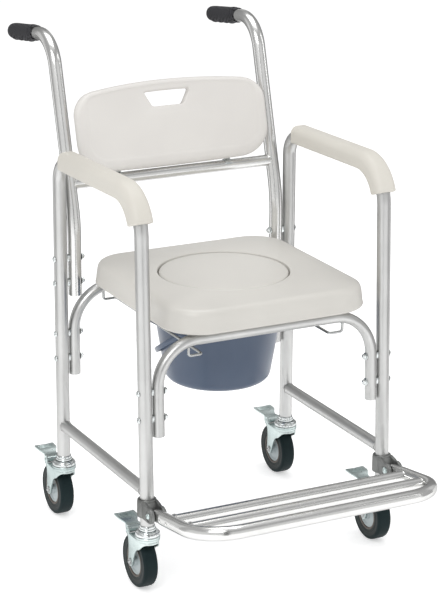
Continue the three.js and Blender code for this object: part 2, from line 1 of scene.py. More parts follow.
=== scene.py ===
"""The looks of a commode chair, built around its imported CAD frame.

Lengths in the constants are millimetres. Y is counted from midway between the legs, as in the CAD
source; at() turns such a point into the shared frame, in metres.
"""

from math import atan2, ceil, copysign, cos, pi, radians, sin, sqrt, tan

import bmesh
import bpy
from mathutils import Matrix, Vector


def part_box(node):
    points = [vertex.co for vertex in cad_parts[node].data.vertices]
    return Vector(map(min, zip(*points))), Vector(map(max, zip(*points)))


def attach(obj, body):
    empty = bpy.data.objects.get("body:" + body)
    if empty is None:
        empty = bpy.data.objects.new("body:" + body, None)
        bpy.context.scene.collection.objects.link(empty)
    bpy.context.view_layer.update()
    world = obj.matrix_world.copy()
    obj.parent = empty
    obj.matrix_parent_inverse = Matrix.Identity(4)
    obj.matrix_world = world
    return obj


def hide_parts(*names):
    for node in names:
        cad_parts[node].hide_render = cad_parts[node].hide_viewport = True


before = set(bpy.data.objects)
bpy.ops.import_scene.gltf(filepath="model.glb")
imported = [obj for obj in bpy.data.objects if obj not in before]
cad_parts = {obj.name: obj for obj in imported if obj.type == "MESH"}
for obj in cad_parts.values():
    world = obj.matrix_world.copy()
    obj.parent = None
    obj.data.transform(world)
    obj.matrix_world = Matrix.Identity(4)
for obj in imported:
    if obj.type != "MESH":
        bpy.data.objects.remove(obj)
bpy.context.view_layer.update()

MM = 0.001
LID_X, LID_Y = 5, 2
lid_low, lid_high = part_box("seat_lid")
Y_SHIFT = (lid_low.y + lid_high.y) / 2 - LID_Y * MM

# ---- driving dimensions: the frame's are those of the CAD, a few skins are slightly fuller ----
TUBE = 12.7
SLIM = 11
LEG_X = 246
FOOT_Z = 124
REAR_LEG_Y = 191
FRONT_FOOT_Y = -191.5
ARM_FRONT_Y, ARM_FRONT_Z = -169.8, 736
ARM_REAR_Z = 725.3
ARM_BEND_REAR, ARM_BEND_FRONT = 45, 70
SIDE_RAIL_Z = 194
HOOP_X, HOOP_FOOT, HOOP_TOP, HOOP_BEND = 220, 296, 466.5, 80
HOOP_BOLTS = (331, 381)
HANDLE_X, HANDLE_FOOT, HANDLE_KNEE = 217, 455, 602
HANDLE_BOLTS = (482, 530)
HANDLE_TOP_Y, HANDLE_TOP_Z = 285.6, 941.3
HANDLE_KNEE_BEND, HANDLE_TOP_BEND, HANDLE_REACH = 220, 67, 180
LEAN = atan2(HANDLE_TOP_Y - REAR_LEG_Y, HANDLE_TOP_Z - HANDLE_KNEE)
GRIP_DROOP = radians(7.4)
GRIP_START, GRIP_LENGTH = 72, 121
FINGERS_START, FINGER_PITCH = 16, 24
CROSSBAR_Z = 669
FOLD_Y, FOLD_Z, FOLD_RISE = -228, 164, radians(8.5)
FOOTREST_START, FOOTREST_REACH, FOOTREST_BEND = 4, 192, 75
FOOTREST_BARS = (55, 120)
WHEEL_R, WHEEL_TRAIL = 50, 32
SIDES = (("left", -1), ("right", 1))


def at(x, y, z):
    return Vector((x * MM, y * MM + Y_SHIFT, z * MM))


def rear_leg_y(z):
    return REAR_LEG_Y


def front_leg_y(z):
    return FRONT_FOOT_Y + (z - FOOT_Z) * (ARM_FRONT_Y - FRONT_FOOT_Y) / (ARM_FRONT_Z - FOOT_Z)


def lean_y(z):
    return REAR_LEG_Y + (z - HANDLE_KNEE) * tan(LEAN)


def smooth(t):
    t = min(max(t, 0.0), 1.0)
    return t * t * (3 - 2 * t)


# ---- materials ----
METAL_EDGE = 0.55  # how bright a metal stays where it is seen at a grazing angle
KNURL_SCALE = 58


def new_material(name):
    material = bpy.data.materials.new(name)
    material.use_nodes = True
    nodes = material.node_tree.nodes
    return material, nodes, material.node_tree.links, nodes["Principled BSDF"]


def object_coords(nodes, links, stretch=(1, 1, 1)):
    coords = nodes.new("ShaderNodeTexCoord")
    mapping = nodes.new("ShaderNodeMapping")
    mapping.inputs["Scale"].default_value = stretch
    links.new(coords.outputs["Object"], mapping.inputs["Vector"])
    return mapping.outputs["Vector"]


def noise(nodes, links, vector, scale, detail=3.0):
    texture = nodes.new("ShaderNodeTexNoise")
    texture.inputs["Scale"].default_value = scale
    texture.inputs["Detail"].default_value = detail
    links.new(vector, texture.inputs["Vector"])
    return texture.outputs["Fac"]


def ramp(nodes, links, value, low, high, low_at=0.3, high_at=0.7):
    node = nodes.new("ShaderNodeValToRGB")
    first, last = node.color_ramp.elements
    first.position, last.position = low_at, high_at
    first.color, last.color = (*low, 1), (*high, 1)
    links.new(value, node.inputs["Fac"])
    return node.outputs["Color"]


def spread(nodes, links, value, low, high):
    node = nodes.new("ShaderNodeMapRange")
    node.inputs["From Min"].default_value = 0.3
    node.inputs["From Max"].default_value = 0.7
    node.inputs["To Min"].default_value = low
    node.inputs["To Max"].default_value = high
    links.new(value, node.inputs["Value"])
    return node.outputs["Result"]


def bump(nodes, links, height, shader, strength, distance=0.0004):
    node = nodes.new("ShaderNodeBump")
    node.inputs["Strength"].default_value = strength
    node.inputs["Distance"].default_value = distance
    links.new(height, node.inputs["Height"])
    links.new(node.outputs["Normal"], shader.inputs["Normal"])


def metal(name, dark, light, roughness, grain=(1, 1, 1), grain_scale=400, strength=0.08):
    """Metal with cloudy tone, a drawn or cast grain, and roughness that wanders a little."""
    material, nodes, links, shader = new_material(name)
    coords = object_coords(nodes, links)
    grained = object_coords(nodes, links, grain)
    cloud = noise(nodes, links, coords, 14)
    lines = noise(nodes, links, grained, grain_scale, 4)
    shader.inputs["Metallic"].default_value = 1.0
    shader.inputs["Specular Tint"].default_value = (METAL_EDGE, METAL_EDGE, METAL_EDGE, 1)
    links.new(ramp(nodes, links, cloud, dark, light), shader.inputs["Base Color"])
    links.new(spread(nodes, links, lines, *roughness), shader.inputs["Roughness"])
    bump(nodes, links, lines, shader, strength, 0.0002)
    return material


def moulded(name, dark, light, roughness, grain_scale, strength, coat=0.0, specular=0.5):
    """Moulded plastic or rubber: a faint tone change, fine pebbled grain, wandering gloss."""
    material, nodes, links, shader = new_material(name)
    coords = object_coords(nodes, links)
    cloud = noise(nodes, links, coords, 7)
    grain = noise(nodes, links, coords, grain_scale, 2)
    links.new(ramp(nodes, links, cloud, dark, light), shader.inputs["Base Color"])
    links.new(spread(nodes, links, cloud, *roughness), shader.inputs["Roughness"])
    shader.inputs["Specular IOR Level"].default_value = specular
    bump(nodes, links, grain, shader, strength)
    if coat:
        shader.inputs["Coat Weight"].default_value = coat
        shader.inputs["Coat Roughness"].default_value = 0.35
    return material


def knurled_rubber():
    """Black rubber with a small diamond pattern, where two sets of slanting waves cross. Its lighter tone is
    a painted highlight on the knurl.
    """
    material, nodes, links, shader = new_material("grip_rubber")
    coords = nodes.new("ShaderNodeTexCoord")
    both = nodes.new("ShaderNodeMath")
    both.operation = "MULTIPLY"
    height = both.outputs[0]
    for number, slant in enumerate((45, -45)):
        mapping = nodes.new("ShaderNodeMapping")
        mapping.inputs["Rotation"].default_value = (radians(slant), 0, 0)
        wave = nodes.new("ShaderNodeTexWave")
        wave.bands_direction = "Y"
        wave.inputs["Scale"].default_value = KNURL_SCALE
        links.new(coords.outputs["Object"], mapping.inputs["Vector"])
        links.new(mapping.outputs["Vector"], wave.inputs["Vector"])
        links.new(wave.outputs["Fac"], both.inputs[number])
    # painted highlight: the lighter tone of the diamond pattern stands for the knurl's glints; the near-black
    # is the rubber between them
    painted_knurl_highlight, knurl_dark_tone = (0.05, 0.05, 0.055), (0.0015, 0.0015, 0.002)
    links.new(ramp(nodes, links, height, painted_knurl_highlight, knurl_dark_tone, 0.1, 0.5), shader.inputs["Base Color"])
    shader.inputs["Roughness"].default_value = 0.6
    shader.inputs["Specular IOR Level"].default_value = 0.12
    bump(nodes, links, height, shader, 0.8, 0.0008)
    return material


ALONG_Z = (1, 1, 0.04)
ALONG_X = (0.04, 1, 1)
SATIN_TUBE = metal("satin_tube", (0.55, 0.552, 0.545), (0.62, 0.622, 0.615), (0.32, 0.42), ALONG_Z)
BRIGHT_TUBE = metal("bright_tube", (0.7, 0.7, 0.69), (0.78, 0.78, 0.77), (0.19, 0.23), ALONG_X, strength=0.01)
WIRE = metal("plated_wire", (0.42, 0.43, 0.43), (0.55, 0.56, 0.56), (0.18, 0.28))
CAST = metal("cast_grey", (0.2, 0.205, 0.2), (0.3, 0.305, 0.3), (0.45, 0.6), grain_scale=700, strength=0.4)
ZINC = metal("zinc_plate", (0.5, 0.58, 0.575), (0.68, 0.76, 0.75), (0.25, 0.4), grain_scale=300)
BRIGHT_ZINC = metal("bright_zinc", (0.6, 0.63, 0.63), (0.78, 0.81, 0.81), (0.14, 0.24))
SEAT = moulded("seat_plastic", (0.565, 0.55, 0.515), (0.6, 0.583, 0.546), (0.34, 0.44), 900, 0.12, 0.2)
BACK = moulded("backrest_plastic", (0.62, 0.6, 0.575), (0.66, 0.64, 0.612), (0.4, 0.5), 900, 0.12, 0.15)
PAD = moulded("arm_pad_plastic", (0.585, 0.562, 0.51), (0.625, 0.602, 0.548), (0.45, 0.55), 1200, 0.2)
BLUE = moulded("bucket_plastic", (0.058, 0.085, 0.14), (0.074, 0.106, 0.166), (0.3, 0.4), 800, 0.08, 0.1)
MATT = (0.5, 0.62)
TYRE = moulded("tyre_rubber", (0.005, 0.013, 0.0145), (0.01, 0.021, 0.023), MATT, 600, 0.2, specular=0.15)
SIDEWALL = moulded("sidewall_rubber", (0.014, 0.02, 0.02), (0.024, 0.03, 0.03), MATT, 600, 0.2, specular=0.25)
BEAD = moulded("bead_rubber", (0.085, 0.07, 0.058), (0.11, 0.092, 0.078), MATT, 600, 0.2)
HUB = moulded("hub_plastic", (0.34, 0.39, 0.4), (0.42, 0.47, 0.48), (0.35, 0.45), 700, 0.1)
GRIP = knurled_rubber()

# ---- mesh helpers ----
SHARP = radians(38)
TUBE_SIDES, TUBE_WALL, OPEN_DEPTH = 32, 1.6, 9


def object_from(bm, name, material):
    mesh = bpy.data.meshes.new(name)
    bm.to_mesh(mesh)
    bm.free()
    mesh.materials.append(material)
    made = bpy.data.objects.new(name, mesh)
    bpy.context.scene.collection.objects.link(made)
    return made


def finish(bm, name, material, node, body="frame"):
    """Makes the piece: faces out, round faces shaded smooth, real edges kept sharp. It stands in for
    a CAD node, or for none where another piece does."""
    bmesh.ops.remove_doubles(bm, verts=bm.verts, dist=1e-6)
    bmesh.ops.recalc_face_normals(bm, faces=bm.faces)
    for face in bm.faces:
        face.smooth = True
    for edge in bm.edges:
        edge.smooth = len(edge.link_faces) == 2 and edge.calc_face_angle(0) < SHARP
    piece = object_from(bm, name, material)
    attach(piece, body)
    if node:
        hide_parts(node)


def add_loops(bm, loops, closed=False):
    """Joins rings of points, each with as many points as the next, into a skin. The ends are capped,
    or, where the run of rings is closed, joined."""
    rings = [[bm.verts.new(point) for point in loop] for loop in loops]
    pairs = list(zip(rings, rings[1:]))
    if closed:
        pairs.append((rings[-1], rings[0]))
    for low, high in pairs:
        for i in range(len(low)):
            j = (i + 1) % len(low)
            bm.faces.new((low[i], low[j], high[j], high[i]))
    if not closed:
        bm.faces.new(rings[0][::-1])
        bm.faces.new(rings[-1])


def path_stations(corners, step=radians(5)):
    """(point, tangent, bend share) along straight runs and round bends; share is 1 mid-bend. A corner
    is a point, with the radius of its bend if it has one."""
    points = [at(*corner[0]) for corner in corners]
    headings = [(b - a).normalized() for a, b in zip(points, points[1:])]
    stations = [(points[0], headings[0], 0.0)]
    for i in range(1, len(points) - 1):
        before, after = headings[i - 1], headings[i]
        radius = corners[i][1] * MM
        turn = before.angle(after)
        inward = (after - before * cos(turn)).normalized()
        start = points[i] - before * (radius * tan(turn / 2))
        steps = max(2, ceil(turn / step))
        for k in range(steps + 1):
            angle = turn * k / steps
            point = start + before * (radius * sin(angle)) + inward * (radius * (1 - cos(angle)))
            tangent = before * cos(angle) + inward * sin(angle)
            stations.append((point, tangent, sin(pi * k / steps)))
    stations.append((points[-1], headings[-1], 0.0))
    return stations


def swept_rings(stations, section):
    """Rings of a flat path. section(station number, bend share) gives (side, across) points: side
    is along the path plane's normal, across points to the inside of the first bend."""
    normal = Vector((0, 0, 0))
    for (_, a, _), (_, b, _) in zip(stations, stations[1:]):
        normal += a.cross(b)
    if normal.length < 1e-6:
        normal = stations[0][1].orthogonal()
    normal.normalize()
    rings = []
    for i, (point, tangent, share) in enumerate(stations):
        across = normal.cross(tangent).normalized()
        ring = [point + (normal * s + across * a) * MM for s, a in section(i, share)]
        rings.append(ring)
    return rings


def around(count, offset=0.0):
    """Evenly spaced angles all the way round."""
    return [2 * pi * (k + offset) / count for k in range(count)]


def ellipse(radius, flatten):
    wide, low = radius * (1 + flatten * 0.5), radius * (1 - flatten)
    return [(wide * cos(t), low * sin(t)) for t in around(TUBE_SIDES)]


def add_tube(bm, corners, radius, flatten=0.0, open_ends=True):
    """A bent tube with eased rims, flattened a little in its bends. Open ends show their wall and a
    dark depth."""
    stations = path_stations(corners)
    rings = swept_rings(stations, lambda i, share: ellipse(radius, flatten * share))

    def end(ring, tangent):
        centre = sum(ring, Vector()) / len(ring)

        def scaled(r, shift):
            return [centre + (p - centre) * (r / radius) + tangent * shift * MM for p in ring]

        eased = [scaled(radius - 0.5, 0), scaled(radius, -0.5)]
        if open_ends:
            inner = radius - TUBE_WALL
            return [scaled(inner, -OPEN_DEPTH), scaled(inner, -0.5), scaled(inner + 0.5, 0)] + eased
        return eased

    head = end(rings[0], -stations[0][1])
    tail = end(rings[-1], stations[-1][1])
    add_loops(bm, head + rings[1:-1] + tail[::-1])


def tube(name, corners, radius, material, node, flatten):
    bm = bmesh.new()
    add_tube(bm, corners, radius, flatten)
    finish(bm, name, material, node)


def place_mm(centre, direction):
    """A matrix that puts local +Z, in millimetres, along direction at centre."""
    turn = Vector((0, 0, 1)).rotation_difference(Vector(direction).normalized()).to_matrix().to_4x4()
    return Matrix.Translation(centre) @ turn @ Matrix.Scale(MM, 4)


def add_lathe(bm, profile, place, sides=40):
    """profile is (radius, height) in millimetres; an end off the axis is closed with a disc."""
    loops = []
    for radius, height in profile:
        radius = max(radius, 0.02)
        loops.append([place @ Vector((radius * cos(t), radius * sin(t), height)) for t in around(sides)])
    add_loops(bm, loops)


def upright(x, y):
    return place_mm(at(x, y, 0), (0, 0, 1))


def add_closed_lathe(bm, profile, place, sides):
    """A ring: the profile is a closed outline that stays off the axis."""
    loops = []
    for turn in around(sides):
        loops.append([place @ Vector((r * cos(turn), r * sin(turn), h)) for r, h in profile])
    add_loops(bm, loops, closed=True)


def add_plate(bm, outline, place, low, high, bevel=0.6):
    """An outline in local X and Y, as a plate from height low to high, with eased edges."""
    part = bmesh.new()
    bottom = [part.verts.new((x, y, low)) for x, y in outline]
    face = part.faces.new(bottom)
    top = bmesh.ops.extrude_face_region(part, geom=[face])["geom"]
    top_points = [v for v in top if isinstance(v, bmesh.types.BMVert)]
    bmesh.ops.translate(part, vec=(0, 0, high - low), verts=top_points)
    bmesh.ops.recalc_face_normals(part, faces=part.faces)
    rims = [e for e in part.edges if abs(e.verts[0].co.z - e.verts[1].co.z) < 1e-6]
    bmesh.ops.bevel(part, geom=rims, offset=bevel, segments=2, affect="EDGES", profile=0.5)
    bmesh.ops.transform(part, matrix=place, verts=part.verts)
    scratch = bpy.data.meshes.new("scratch")
    part.to_mesh(scratch)
    part.free()
    bm.from_mesh(scratch)
    bpy.data.meshes.remove(scratch)


def facing_x(x, y=0, z=0):
    """Local X, Y, Z lie along Y, Z, X of the frame, with the origin at a point."""
    turn = Matrix(((0, 0, 1, 0), (1, 0, 0, 0), (0, 1, 0, 0), (0, 0, 0, 1)))
    return Matrix.Translation(at(x, y, z)) @ turn @ Matrix.Scale(MM, 4)


def arc(cx, cy, radius, start, end, steps=10):
    turns = [radians(start + (end - start) * k / steps) for k in range(steps + 1)]
    return [(cx + radius * cos(t), cy + radius * sin(t)) for t in turns]


def mirrored(half, middle=()):
    """An outline whose second half is its first half upside down."""
    return [*half, *middle, *((r, -h) for r, h in reversed(half))]


def add_rod(bm, radius, reach, place, sides):
    add_lathe(bm, mirrored([(0, -reach), (radius, -reach)]), place, sides)


# ---- side frames, rails and arm pads ----
PAD_HALF, PAD_ABOVE, PAD_CROWN = 21, 22, 15
PAD_REAR_Y, PAD_FRONT_Z = 151, 687


def weld(bm, place):
    """The rippled bead where the end of a slim tube meets the side of a frame tube."""
    ripples = 22
    reach = SLIM + 0.3
    loops = []
    for turn in around(60):
        size = 1.1 + 0.3 * sin(turn * ripples)
        saddle = sqrt(max(TUBE**2 - (reach * sin(turn)) ** 2, 0))
        loop = []
        for swing in around(6):
            r = reach + size * cos(swing)
            loop.append(place @ Vector((r * cos(turn), r * sin(turn), saddle + size * sin(swing))))
        loops.append(loop)
    add_loops(bm, loops, closed=True)


def welded_tube(name, start, end, sunk, material, node, body="frame"):
    """A straight slim tube between two frame tubes' centres, sunk into both and welded to them."""
    way = (Vector(end) - Vector(start)).normalized()
    bm = bmesh.new()
    add_tube(bm, [(Vector(start) + way * sunk,), (Vector(end) - way * sunk,)], SLIM, open_ends=False)
    weld(bm, place_mm(at(*start), way))
    weld(bm, place_mm(at(*end), -way))
    finish(bm, name, material, node, body)


def pad_section(scale):
    """The pad's channel section: a full round crown, straight sides and a mouth below the tube. Its
    skin is scaled, and its bore is not."""
    inner, half, low = TUBE + 0.4, PAD_HALF, PAD_CROWN - PAD_ABOVE
    mouth = inner * sin(radians(60))
    lip = [(half, mouth - 4), (half - 0.3, mouth - 1.6), (half - 1.6, mouth), (half - 5, mouth + 0.4)]
    skin = [(-s, a) for s, a in reversed(lip)]
    skin += arc(PAD_CROWN - half, low, PAD_CROWN, 180, 270)
    skin += arc(half - PAD_CROWN, low, PAD_CROWN, 270, 360) + lip
    return arc(0, 0, inner, 60, -240, 30) + [(s * scale, a * scale) for s, a in skin]


def arm_pad(side, x):
    """A moulded channel over the arm tube; it follows the front bend and stops inside it."""
    rise = (ARM_FRONT_Z - ARM_REAR_Z) / (REAR_LEG_Y - ARM_FRONT_Y)
    corners = [
        ((x, PAD_REAR_Y, ARM_REAR_Z + (REAR_LEG_Y - PAD_REAR_Y) * rise),),
        ((x, ARM_FRONT_Y, ARM_FRONT_Z), ARM_BEND_FRONT),
        ((x, FRONT_FOOT_Y, FOOT_Z),),
    ]
    stations = [s for s in path_stations(corners, radians(3)) if s[0].z > PAD_FRONT_Z * MM]
    first, last = stations[0], stations[-1]
    eased = [(0.0, 0.9), (0.6, 0.955), (1.6, 0.985), (3.2, 1.0)]
    path = [(first[0] + first[1] * d * MM, first[1], s) for d, s in eased]
    path += [(p, t, 1.0) for p, t, _ in stations[1:-2]]
    path += [(last[0] - last[1] * d * MM, last[1], s) for d, s in reversed(eased)]
    bm = bmesh.new()
    add_loops(bm, swept_rings(path, lambda i, scale: pad_section(scale)))
    finish(bm, f"pad_{side}", PAD, f"arm_pad_{side}")


for side, sign in SIDES:
    x = sign * LEG_X
    corners = [
        ((x, REAR_LEG_Y, FOOT_Z),),
        ((x, REAR_LEG_Y, ARM_REAR_Z), ARM_BEND_REAR),
        ((x, ARM_FRONT_Y, ARM_FRONT_Z), ARM_BEND_FRONT),
        ((x, FRONT_FOOT_Y, FOOT_Z),),
    ]
    tube(f"arm_and_legs_{side}", corners, TUBE, SATIN_TUBE, f"side_frame_{side}", 0.03)
    front, rear = (x, front_leg_y(SIDE_RAIL_Z), SIDE_RAIL_Z), (x, REAR_LEG_Y, SIDE_RAIL_Z)
    welded_tube(f"lower_rail_{side}", front, rear, 6, SATIN_TUBE, f"side_rail_{side}")
    arm_pad(side, x)

# ---- seat hoops ----
for end, y_at in (("front", front_leg_y), ("rear", rear_leg_y)):
    corners = [
        ((-HOOP_X, y_at(HOOP_FOOT), HOOP_FOOT),),
        ((-HOOP_X, y_at(HOOP_TOP), HOOP_TOP), HOOP_BEND),
        ((HOOP_X, y_at(HOOP_TOP), HOOP_TOP), HOOP_BEND),
        ((HOOP_X, y_at(HOOP_FOOT), HOOP_FOOT),),
    ]
    tube(f"seat_support_{end}", corners, SLIM, SATIN_TUBE, f"seat_hoop_{end}", 0.1)


# ---- push handles, grips and crossbar ----
def grip_point(x, along):
    y = HANDLE_TOP_Y + along * cos(GRIP_DROOP)
    return (x, y, HANDLE_TOP_Z - along * sin(GRIP_DROOP))


def grip_radius(along, turn):
    """Radius of the rubber grip at a distance along it; turn 0 is its outer side, 90 deg is up."""
    collar = 15.2 - 1.2 * smooth(abs(along - 2.5) / 3)
    body = 14.2 + 1.9 * smooth((along - 5) / 12) - 0.8 * smooth((along - 95) / 28)
    radius = collar if along < 5 else body
    down = max(0.0, -sin(turn))
    if FINGERS_START < along < FINGERS_START + 4 * FINGER_PITCH:
        fingers = abs(sin(pi * (along - FINGERS_START) / FINGER_PITCH))
        radius += 5.4 * down**1.3 * (fingers - 0.64)
    up = max(0.0, sin(turn))
    radius -= 0.8 * up**4 * smooth((along - 20) / 20)
    rounding = smooth((along - (GRIP_LENGTH - 9)) / 9)
    return radius * (1 - 0.42 * rounding**2)


def grip(side, x):
    rings = 90
    along_axis = Vector((0, cos(GRIP_DROOP), -sin(GRIP_DROOP)))
    up = Vector((0, sin(GRIP_DROOP), cos(GRIP_DROOP)))
    out = Vector((1, 0, 0))
    loops = []
    for k in range(rings + 1):
        along = GRIP_LENGTH * k / rings
        centre = at(*grip_point(x, GRIP_START + along))
        loop = []
        for turn in around(40):
            r = grip_radius(along, turn) * MM
            loop.append(centre + (out * cos(turn) + up * sin(turn)) * r)
        loops.append(loop)
    first = loops[0]
    centre = sum(first, Vector()) / len(first)
    bore = [centre + (p - centre).normalized() * (TUBE + 0.2) * MM for p in first]
    knurl_dark_tone = [p + along_axis * 4 * MM for p in bore]
    bm = bmesh.new()
    add_loops(bm, [knurl_dark_tone, bore] + loops)
    finish(bm, f"hand_grip_{side}", GRIP, f"grip_{side}")


for side, sign in SIDES:
    x = sign * HANDLE_X
    corners = [
        ((x, REAR_LEG_Y, HANDLE_FOOT),),
        ((x, REAR_LEG_Y, HANDLE_KNEE), HANDLE_KNEE_BEND),
        ((x, HANDLE_TOP_Y, HANDLE_TOP_Z), HANDLE_TOP_BEND),
        (grip_point(x, HANDLE_REACH),),
    ]
    tube(f"handle_tube_{side}", corners, TUBE, BRIGHT_TUBE, f"push_handle_{side}", 0.06)
    grip(side, x)

bar_y = lean_y(CROSSBAR_Z)
bar_ends = [(sign * HANDLE_X, bar_y, CROSSBAR_Z) for sign in (-1, 1)]
welded_tube("back_bar", *bar_ends, 6, BRIGHT_TUBE, "back_crossbar")

# ---- backrest ----
BACK_HALF, BACK_HEIGHT, BACK_BOTTOM, BACK_CURVE, BACK_FORWARD = 203, 158, 688, 936, 6
SLOT_CENTRE = 123.5
CLIP_X = 117
RAYS = 224


def crossing(outline, centre, direction):
    """Where a ray from centre leaves a closed outline that can be seen whole from centre."""
    best = None
    for (x0, y0), (x1, y1) in zip(outline, outline[1:] + outline[:1]):
        ex, ey = x1 - x0, y1 - y0
        denominator = direction[0] * ey - direction[1] * ex
        if abs(denominator) < 1e-12:
            continue
        dx, dy = x0 - centre[0], y0 - centre[1]
        reach = (dx * ey - dy * ex) / denominator
        along = (dx * direction[1] - dy * direction[0]) / denominator
        if reach > 0 and -1e-9 <= along <= 1 + 1e-9:
            best = reach if best is None else max(best, reach)
    return (centre[0] + direction[0] * best, centre[1] + direction[1] * best)


def rounded(left, right, low, high, radii, inset=0.0, steps=14, top_share=1.0):
    """A rounded rectangle, pulled in by inset, and by less at its top. radii: top, bottom."""
    top, bottom = (max(r - inset, 6) for r in radii)
    left, right, low, high = left + inset, right - inset, low + inset, high - inset * top_share
    points = arc(right - top, high - top, top, 0, 90, steps)
    points += arc(left + top, high - top, top, 90, 180, steps)
    points += arc(left + bottom, low + bottom, bottom, 180, 270, steps)
    points += arc(right - bottom, low + bottom, bottom, 270, 360, steps)
    return points


def ray_loop(outline, centre):
    return [crossing(outline, centre, (cos(t), sin(t))) for t in around(RAYS, 0.5)]


def between(low, high, share):
    return [(a[0] + (b[0] - a[0]) * share, a[1] + (b[1] - a[1]) * share) for a, b in zip(low, high)]


def slot_outline(grow):
    """The hand slot: a trapezium, wider at the top, with eased corners."""
    low, high = 110 - grow, 137 + grow
    narrow, wide = 32 + grow, 48.5 + grow
    corners = [(-narrow, low), (narrow, low), (wide, high), (-wide, high)]
    points = []
    for i, corner in enumerate(corners):
        before = Vector(corners[i - 1])
        after = Vector(corners[(i + 1) % 4])
        here = Vector(corner)
        a = here + (before - here).normalized() * 5
        b = here + (after - here).normalized() * 5
        for k in range(7):
            t = k / 6
            points.append(tuple((a * (1 - t) + here * t) * (1 - t) + (here * (1 - t) + b * t) * t))
    return points


def bowed(u, w):
    """The top edge bows up and the bottom edge bows down; both fall away to the sides."""
    share = w / BACK_HEIGHT
    top_bow = 3.1 - 11.7 * (u / 165) ** 2
    bottom_bow = -6 + 3 * (u / 175) ** 2
    return w + share * top_bow + (1 - share) * bottom_bow


def backrest():
    centre = (0, SLOT_CENTRE)
    front, back = -10.0, 9.0

    def outer(inset, top_share=1.0):
        outline = rounded(-BACK_HALF, BACK_HALF, 0, BACK_HEIGHT, (42, 58), inset, top_share=top_share)
        return ray_loop(outline, centre)

    def slot(grow):
        return ray_loop(slot_outline(grow), centre)

    field = front + 0.7
    sequence = [(slot(0), 0.0), (slot(0.2), front + 4), (slot(1.2), front + 1.9), (slot(3.2), field)]
    inner, rim = slot(3.2), outer(26, 0.42)
    sequence += [(between(inner, rim, t), field) for t in (0.2, 0.5, 0.8)]
    bead = [(26, 0.42, 0.7), (23.5, 0.42, 0.6), (21, 0.42, 0.1), (18, 0.42, 0), (11, 0.5, 0.5)]
    edge = [(6, 0.6, 1.8), (2.6, 0.8, 4), (0.7, 1, 7), (0, 1, 10)]
    sequence += [(outer(inset, share), front + depth) for inset, share, depth in bead + edge]
    sequence += [(outer(0.5), back - 4), (outer(2.2), back - 1.4), (outer(5), back)]
    sequence += [(between(inner, outer(5), t), back) for t in (0.85, 0.6, 0.35, 0.15)]
    sequence += [(slot(3.2), back), (slot(1.2), back - 1), (slot(0.2), back - 3)]
    lean = Matrix.Rotation(-LEAN, 4, "X")
    origin = at(0, lean_y(BACK_BOTTOM) - BACK_FORWARD, BACK_BOTTOM)

    def place(u, w, depth):
        turn = u / BACK_CURVE
        radius = BACK_CURVE + depth
        local = Vector((radius * sin(turn), radius * cos(turn) - BACK_CURVE, bowed(u, w)))
        return origin + lean @ (local * MM)

    bm = bmesh.new()
    loops = [[place(u, w, depth) for u, w in loop] for loop, depth in sequence]
    add_loops(bm, loops, closed=True)
    finish(bm, "back_panel", BACK, "backrest_panel")


backrest()

for side, sign in SIDES:
    bm = bmesh.new()
    place = facing_x(sign * CLIP_X, bar_y, CROSSBAR_Z)
    ring = arc(0, 0, SLIM + 1.6, 20, 160, 20) + arc(0, 0, SLIM + 0.2, 160, 20, 20)
    add_plate(bm, ring, place, -7, 7, 0.4)
    tab = [(-2.4, SLIM - 0.4), (2.2, SLIM + 10), (6.6, SLIM + 26)]
    tab += [(8.4, SLIM + 25.6), (3.6, SLIM + 8), (1.4, SLIM - 0.4)]
    add_plate(bm, tab, place, -6, 6, 0.5)
    finish(bm, f"back_clip_{side}", BRIGHT_ZINC, f"backrest_clip_{side}")

# ---- seat and lid ----
SEAT_LEFT, SEAT_RIGHT, SEAT_FRONT, SEAT_BACK, SEAT_BOTTOM, SEAT_TOP = -192, 216, -211, 211, 478, 524
SEAT_CORNER = 75
LID_R, HOLE_R, LEDGE = 123, 105, 500


def seat():
    centre = (LID_X, LID_Y)

    def square(inset):
        corners = (SEAT_CORNER, SEAT_CORNER)
        outline = rounded(SEAT_LEFT, SEAT_RIGHT, SEAT_FRONT, SEAT_BACK, corners, inset, 16)
        return ray_loop(outline, centre)

    def ring(radius):
        return [(LID_X + radius * cos(t), LID_Y + radius * sin(t)) for t in around(RAYS, 0.5)]

    recess = LID_R + 1.6
    crown = SEAT_TOP + 2.0
    sequence = [(ring(HOLE_R), SEAT_BOTTOM + 1), (ring(HOLE_R - 1), SEAT_BOTTOM + 3)]
    sequence += [(ring(HOLE_R - 1), LEDGE - 1.5), (ring(HOLE_R), LEDGE), (ring(recess), LEDGE)]
    rim = [(0, -2.4), (0.7, -0.9), (2.4, -0.1), (6, 0.3)]
    sequence += [(ring(recess + out), crown + rise) for out, rise in rim]
    inner, edge = ring(recess + 6), square(24)
    for t in (0.2, 0.4, 0.6, 0.8):
        sequence.append((between(inner, edge, t), crown + 0.3 - 1.3 * t * t))
    shoulder = [(24, 1.2), (17, 0.5), (12, -1), (8, -3.6), (5.4, -7.6), (4, -13), (2.4, -24)]
    sequence += [(square(inset), SEAT_TOP + rise) for inset, rise in shoulder]
    lip = [(1.2, 10), (0.3, 8.2), (0, 6.6), (0.8, 4.4), (2.6, 3.2), (6, 1.6), (11, 0), (14, 1.2)]
    sequence += [(square(inset), SEAT_BOTTOM + rise) for inset, rise in lip]
    under, mouth = square(14), ring(HOLE_R + 3)
    sequence += [(between(under, mouth, t), SEAT_BOTTOM + 1.2) for t in (0.35, 0.7)]
    sequence += [(mouth, SEAT_BOTTOM + 1.2), (ring(HOLE_R + 1.5), SEAT_BOTTOM + 0.4)]
    bm = bmesh.new()
    add_loops(bm, [[at(x, y, z) for x, y in loop] for loop, z in sequence], closed=True)
    finish(bm, "seat_shell", SEAT, "seat_cushion")


